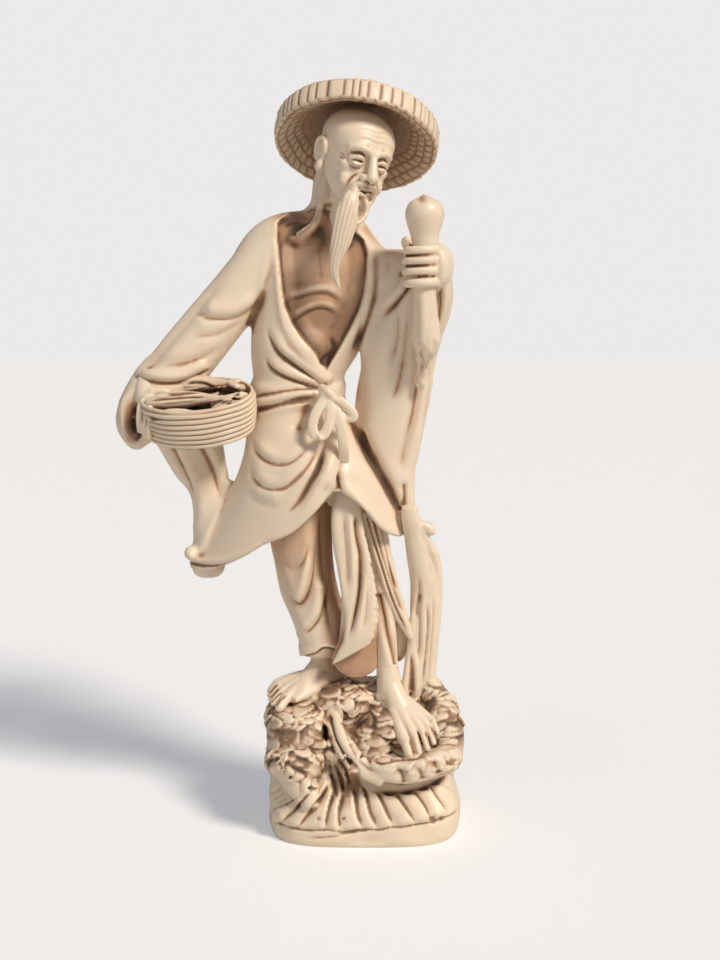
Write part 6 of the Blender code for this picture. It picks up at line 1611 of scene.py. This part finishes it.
def stage():
    """A pale floor that keeps the shadow, under a backdrop that the camera sees in the floor's own tone."""
    mesh = mesh_of("floor", numbers("-3000,-3000,0 3000,-3000,0 3000,3000,0 -3000,3000,0"), [(0, 1, 2, 3)])
    floor = bpy.data.objects.new("floor", mesh)
    bpy.context.scene.collection.objects.link(floor)
    paint = bpy.data.materials.new("pale floor paint")
    paint.use_nodes = True
    tree = paint.node_tree
    seen_by_eye = node(tree, "LightPath").outputs["Is Camera Ray"]
    shader = tree.nodes["Principled BSDF"]
    shader.inputs["Base Color"].default_value = linear("E4E3E1")
    shader.inputs["Roughness"].default_value = 0.9
    shader.inputs["Emission Color"].default_value = linear("EEF4FF")
    glow = node(tree, "Math", {0: seen_by_eye, 1: FLOOR_GLOW}, operation="MULTIPLY")
    tree.links.new(glow.outputs[0], shader.inputs["Emission Strength"])
    mesh.materials.append(paint)
    world = bpy.data.worlds.new("studio")
    world.use_nodes = True
    tree = world.node_tree
    path = node(tree, "LightPath").outputs["Is Camera Ray"]
    tree.nodes["Background"].inputs[0].default_value = linear("E9EAEC")
    tree.nodes["Background"].inputs[1].default_value = AMBIENT
    backdrop = node(tree, "Background", {0: linear(BACKDROP), 1: 1.0})
    both = node(tree, "MixShader", {0: path, 1: tree.nodes["Background"].outputs[0], 2: backdrop.outputs[0]})
    tree.links.new(both.outputs[0], tree.nodes["World Output"].inputs[0])
    bpy.context.scene.world = world


def sun(name, towards, angle, strength, colour):
    """A distant light that shines along a direction; angle is its width in degrees."""
    light = bpy.data.lights.new(name, "SUN")
    light.angle, light.energy, light.color = math.radians(angle), strength, linear(colour)[:3]
    obj = bpy.data.objects.new(name, light)
    obj.rotation_euler = Vector(towards).to_track_quat("-Z", "Y").to_euler()
    bpy.context.scene.collection.objects.link(obj)


def camera():
    """The eye that the strokes are drawn from."""
    lens = bpy.data.cameras.new("camera")
    lens.sensor_width, lens.lens, lens.clip_start = 36.0, LENS, 0.01
    obj = bpy.data.objects.new("camera", lens)
    obj.location = EYE * MM
    obj.rotation_euler = (Vector(AIM * MM) - obj.location).to_track_quat("-Z", "Y").to_euler()
    bpy.context.scene.collection.objects.link(obj)
    bpy.context.scene.camera = obj
    bpy.context.scene.view_settings.view_transform = "Standard"


def main():
    ivory = resin("ivory cast resin, waxed", "EEDCC5", "C69C7B", "54402F", 0.36)
    antique = resin("ivory cast resin, heavy wash", "EEDCC4", "B08B6C", "40382E", 0.42)
    pins = resin("cut steel wire", "8C8C90", "8C8C90", "8C8C90", 0.3)
    clay = carve_garment(garment(0.6))
    garment_pieces(clay, hollow_wash_and_shade(clay, 1.0, 0.45), "ivory_resin", ivory)
    # Each skin's voxel size in mm, and how strongly its fine and its broad relief take the wash and painted
    # shade
    for name, make, voxel, fine, broad in (
            ("right_leg", right_leg_clay, 0.45, 1.0, 0.6), ("left_leg", left_leg_clay, 0.34, 0.8, 0.7),
            ("wrap_flap", wrap_clay, 0.38, 1.0, 0.6), ("rock_base", rock_clay, 0.5, 1.0, 1.1),
            ("head", head_clay, 0.33, 1.0, 0.8), ("catch", catch_clay, 0.33, 0.8, 1.0),
            ("right_hand", right_hand_clay, 0.33, 0.9, 0.8), ("left_fist", left_fist_clay, 0.33, 0.8, 0.8),
            ("staff_upper", staff_upper_clay, 0.33, 0.5, 0.4),
            ("staff_lower", staff_lower_clay, 0.38, 0.8, 0.6), ("sash_bow", bow_clay, 0.30, 0.8, 0.6)):
        clay = make(voxel)
        dark = name in ("rock_base", "catch")
        slot, finish = ("antiqued_resin", antique) if dark else ("ivory_resin", ivory)
        piece(name + "_look", clay.points, clay.quads, hollow_wash_and_shade(clay, fine, broad), slot, finish, name)
    for name, (rings, wash), centre, turn in (("hat", hat_rings(), HAT_CENTRE, HAT_TURN),
                                              ("basket", basket_rings(), BASKET_CENTRE, BASKET_TURN)):
        points, faces, wash = grid_form(rings, wash)
        piece(name + "_look", placed(points, centre, turn), faces, wash, "antiqued_resin", antique, name)
    for name in ("right_ankle_pin", "left_ankle_pin"):
        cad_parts[name].data.materials.clear()
        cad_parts[name].data.materials.append(pins)
    stage()
    sun("key", (-0.62, 0.62, -0.80), 14.0, 2.7, "FFF6EA")
    sun("fill", (0.8, 0.6, -0.35), 60.0, 0.25, "EEF2FF")
    camera()


main()
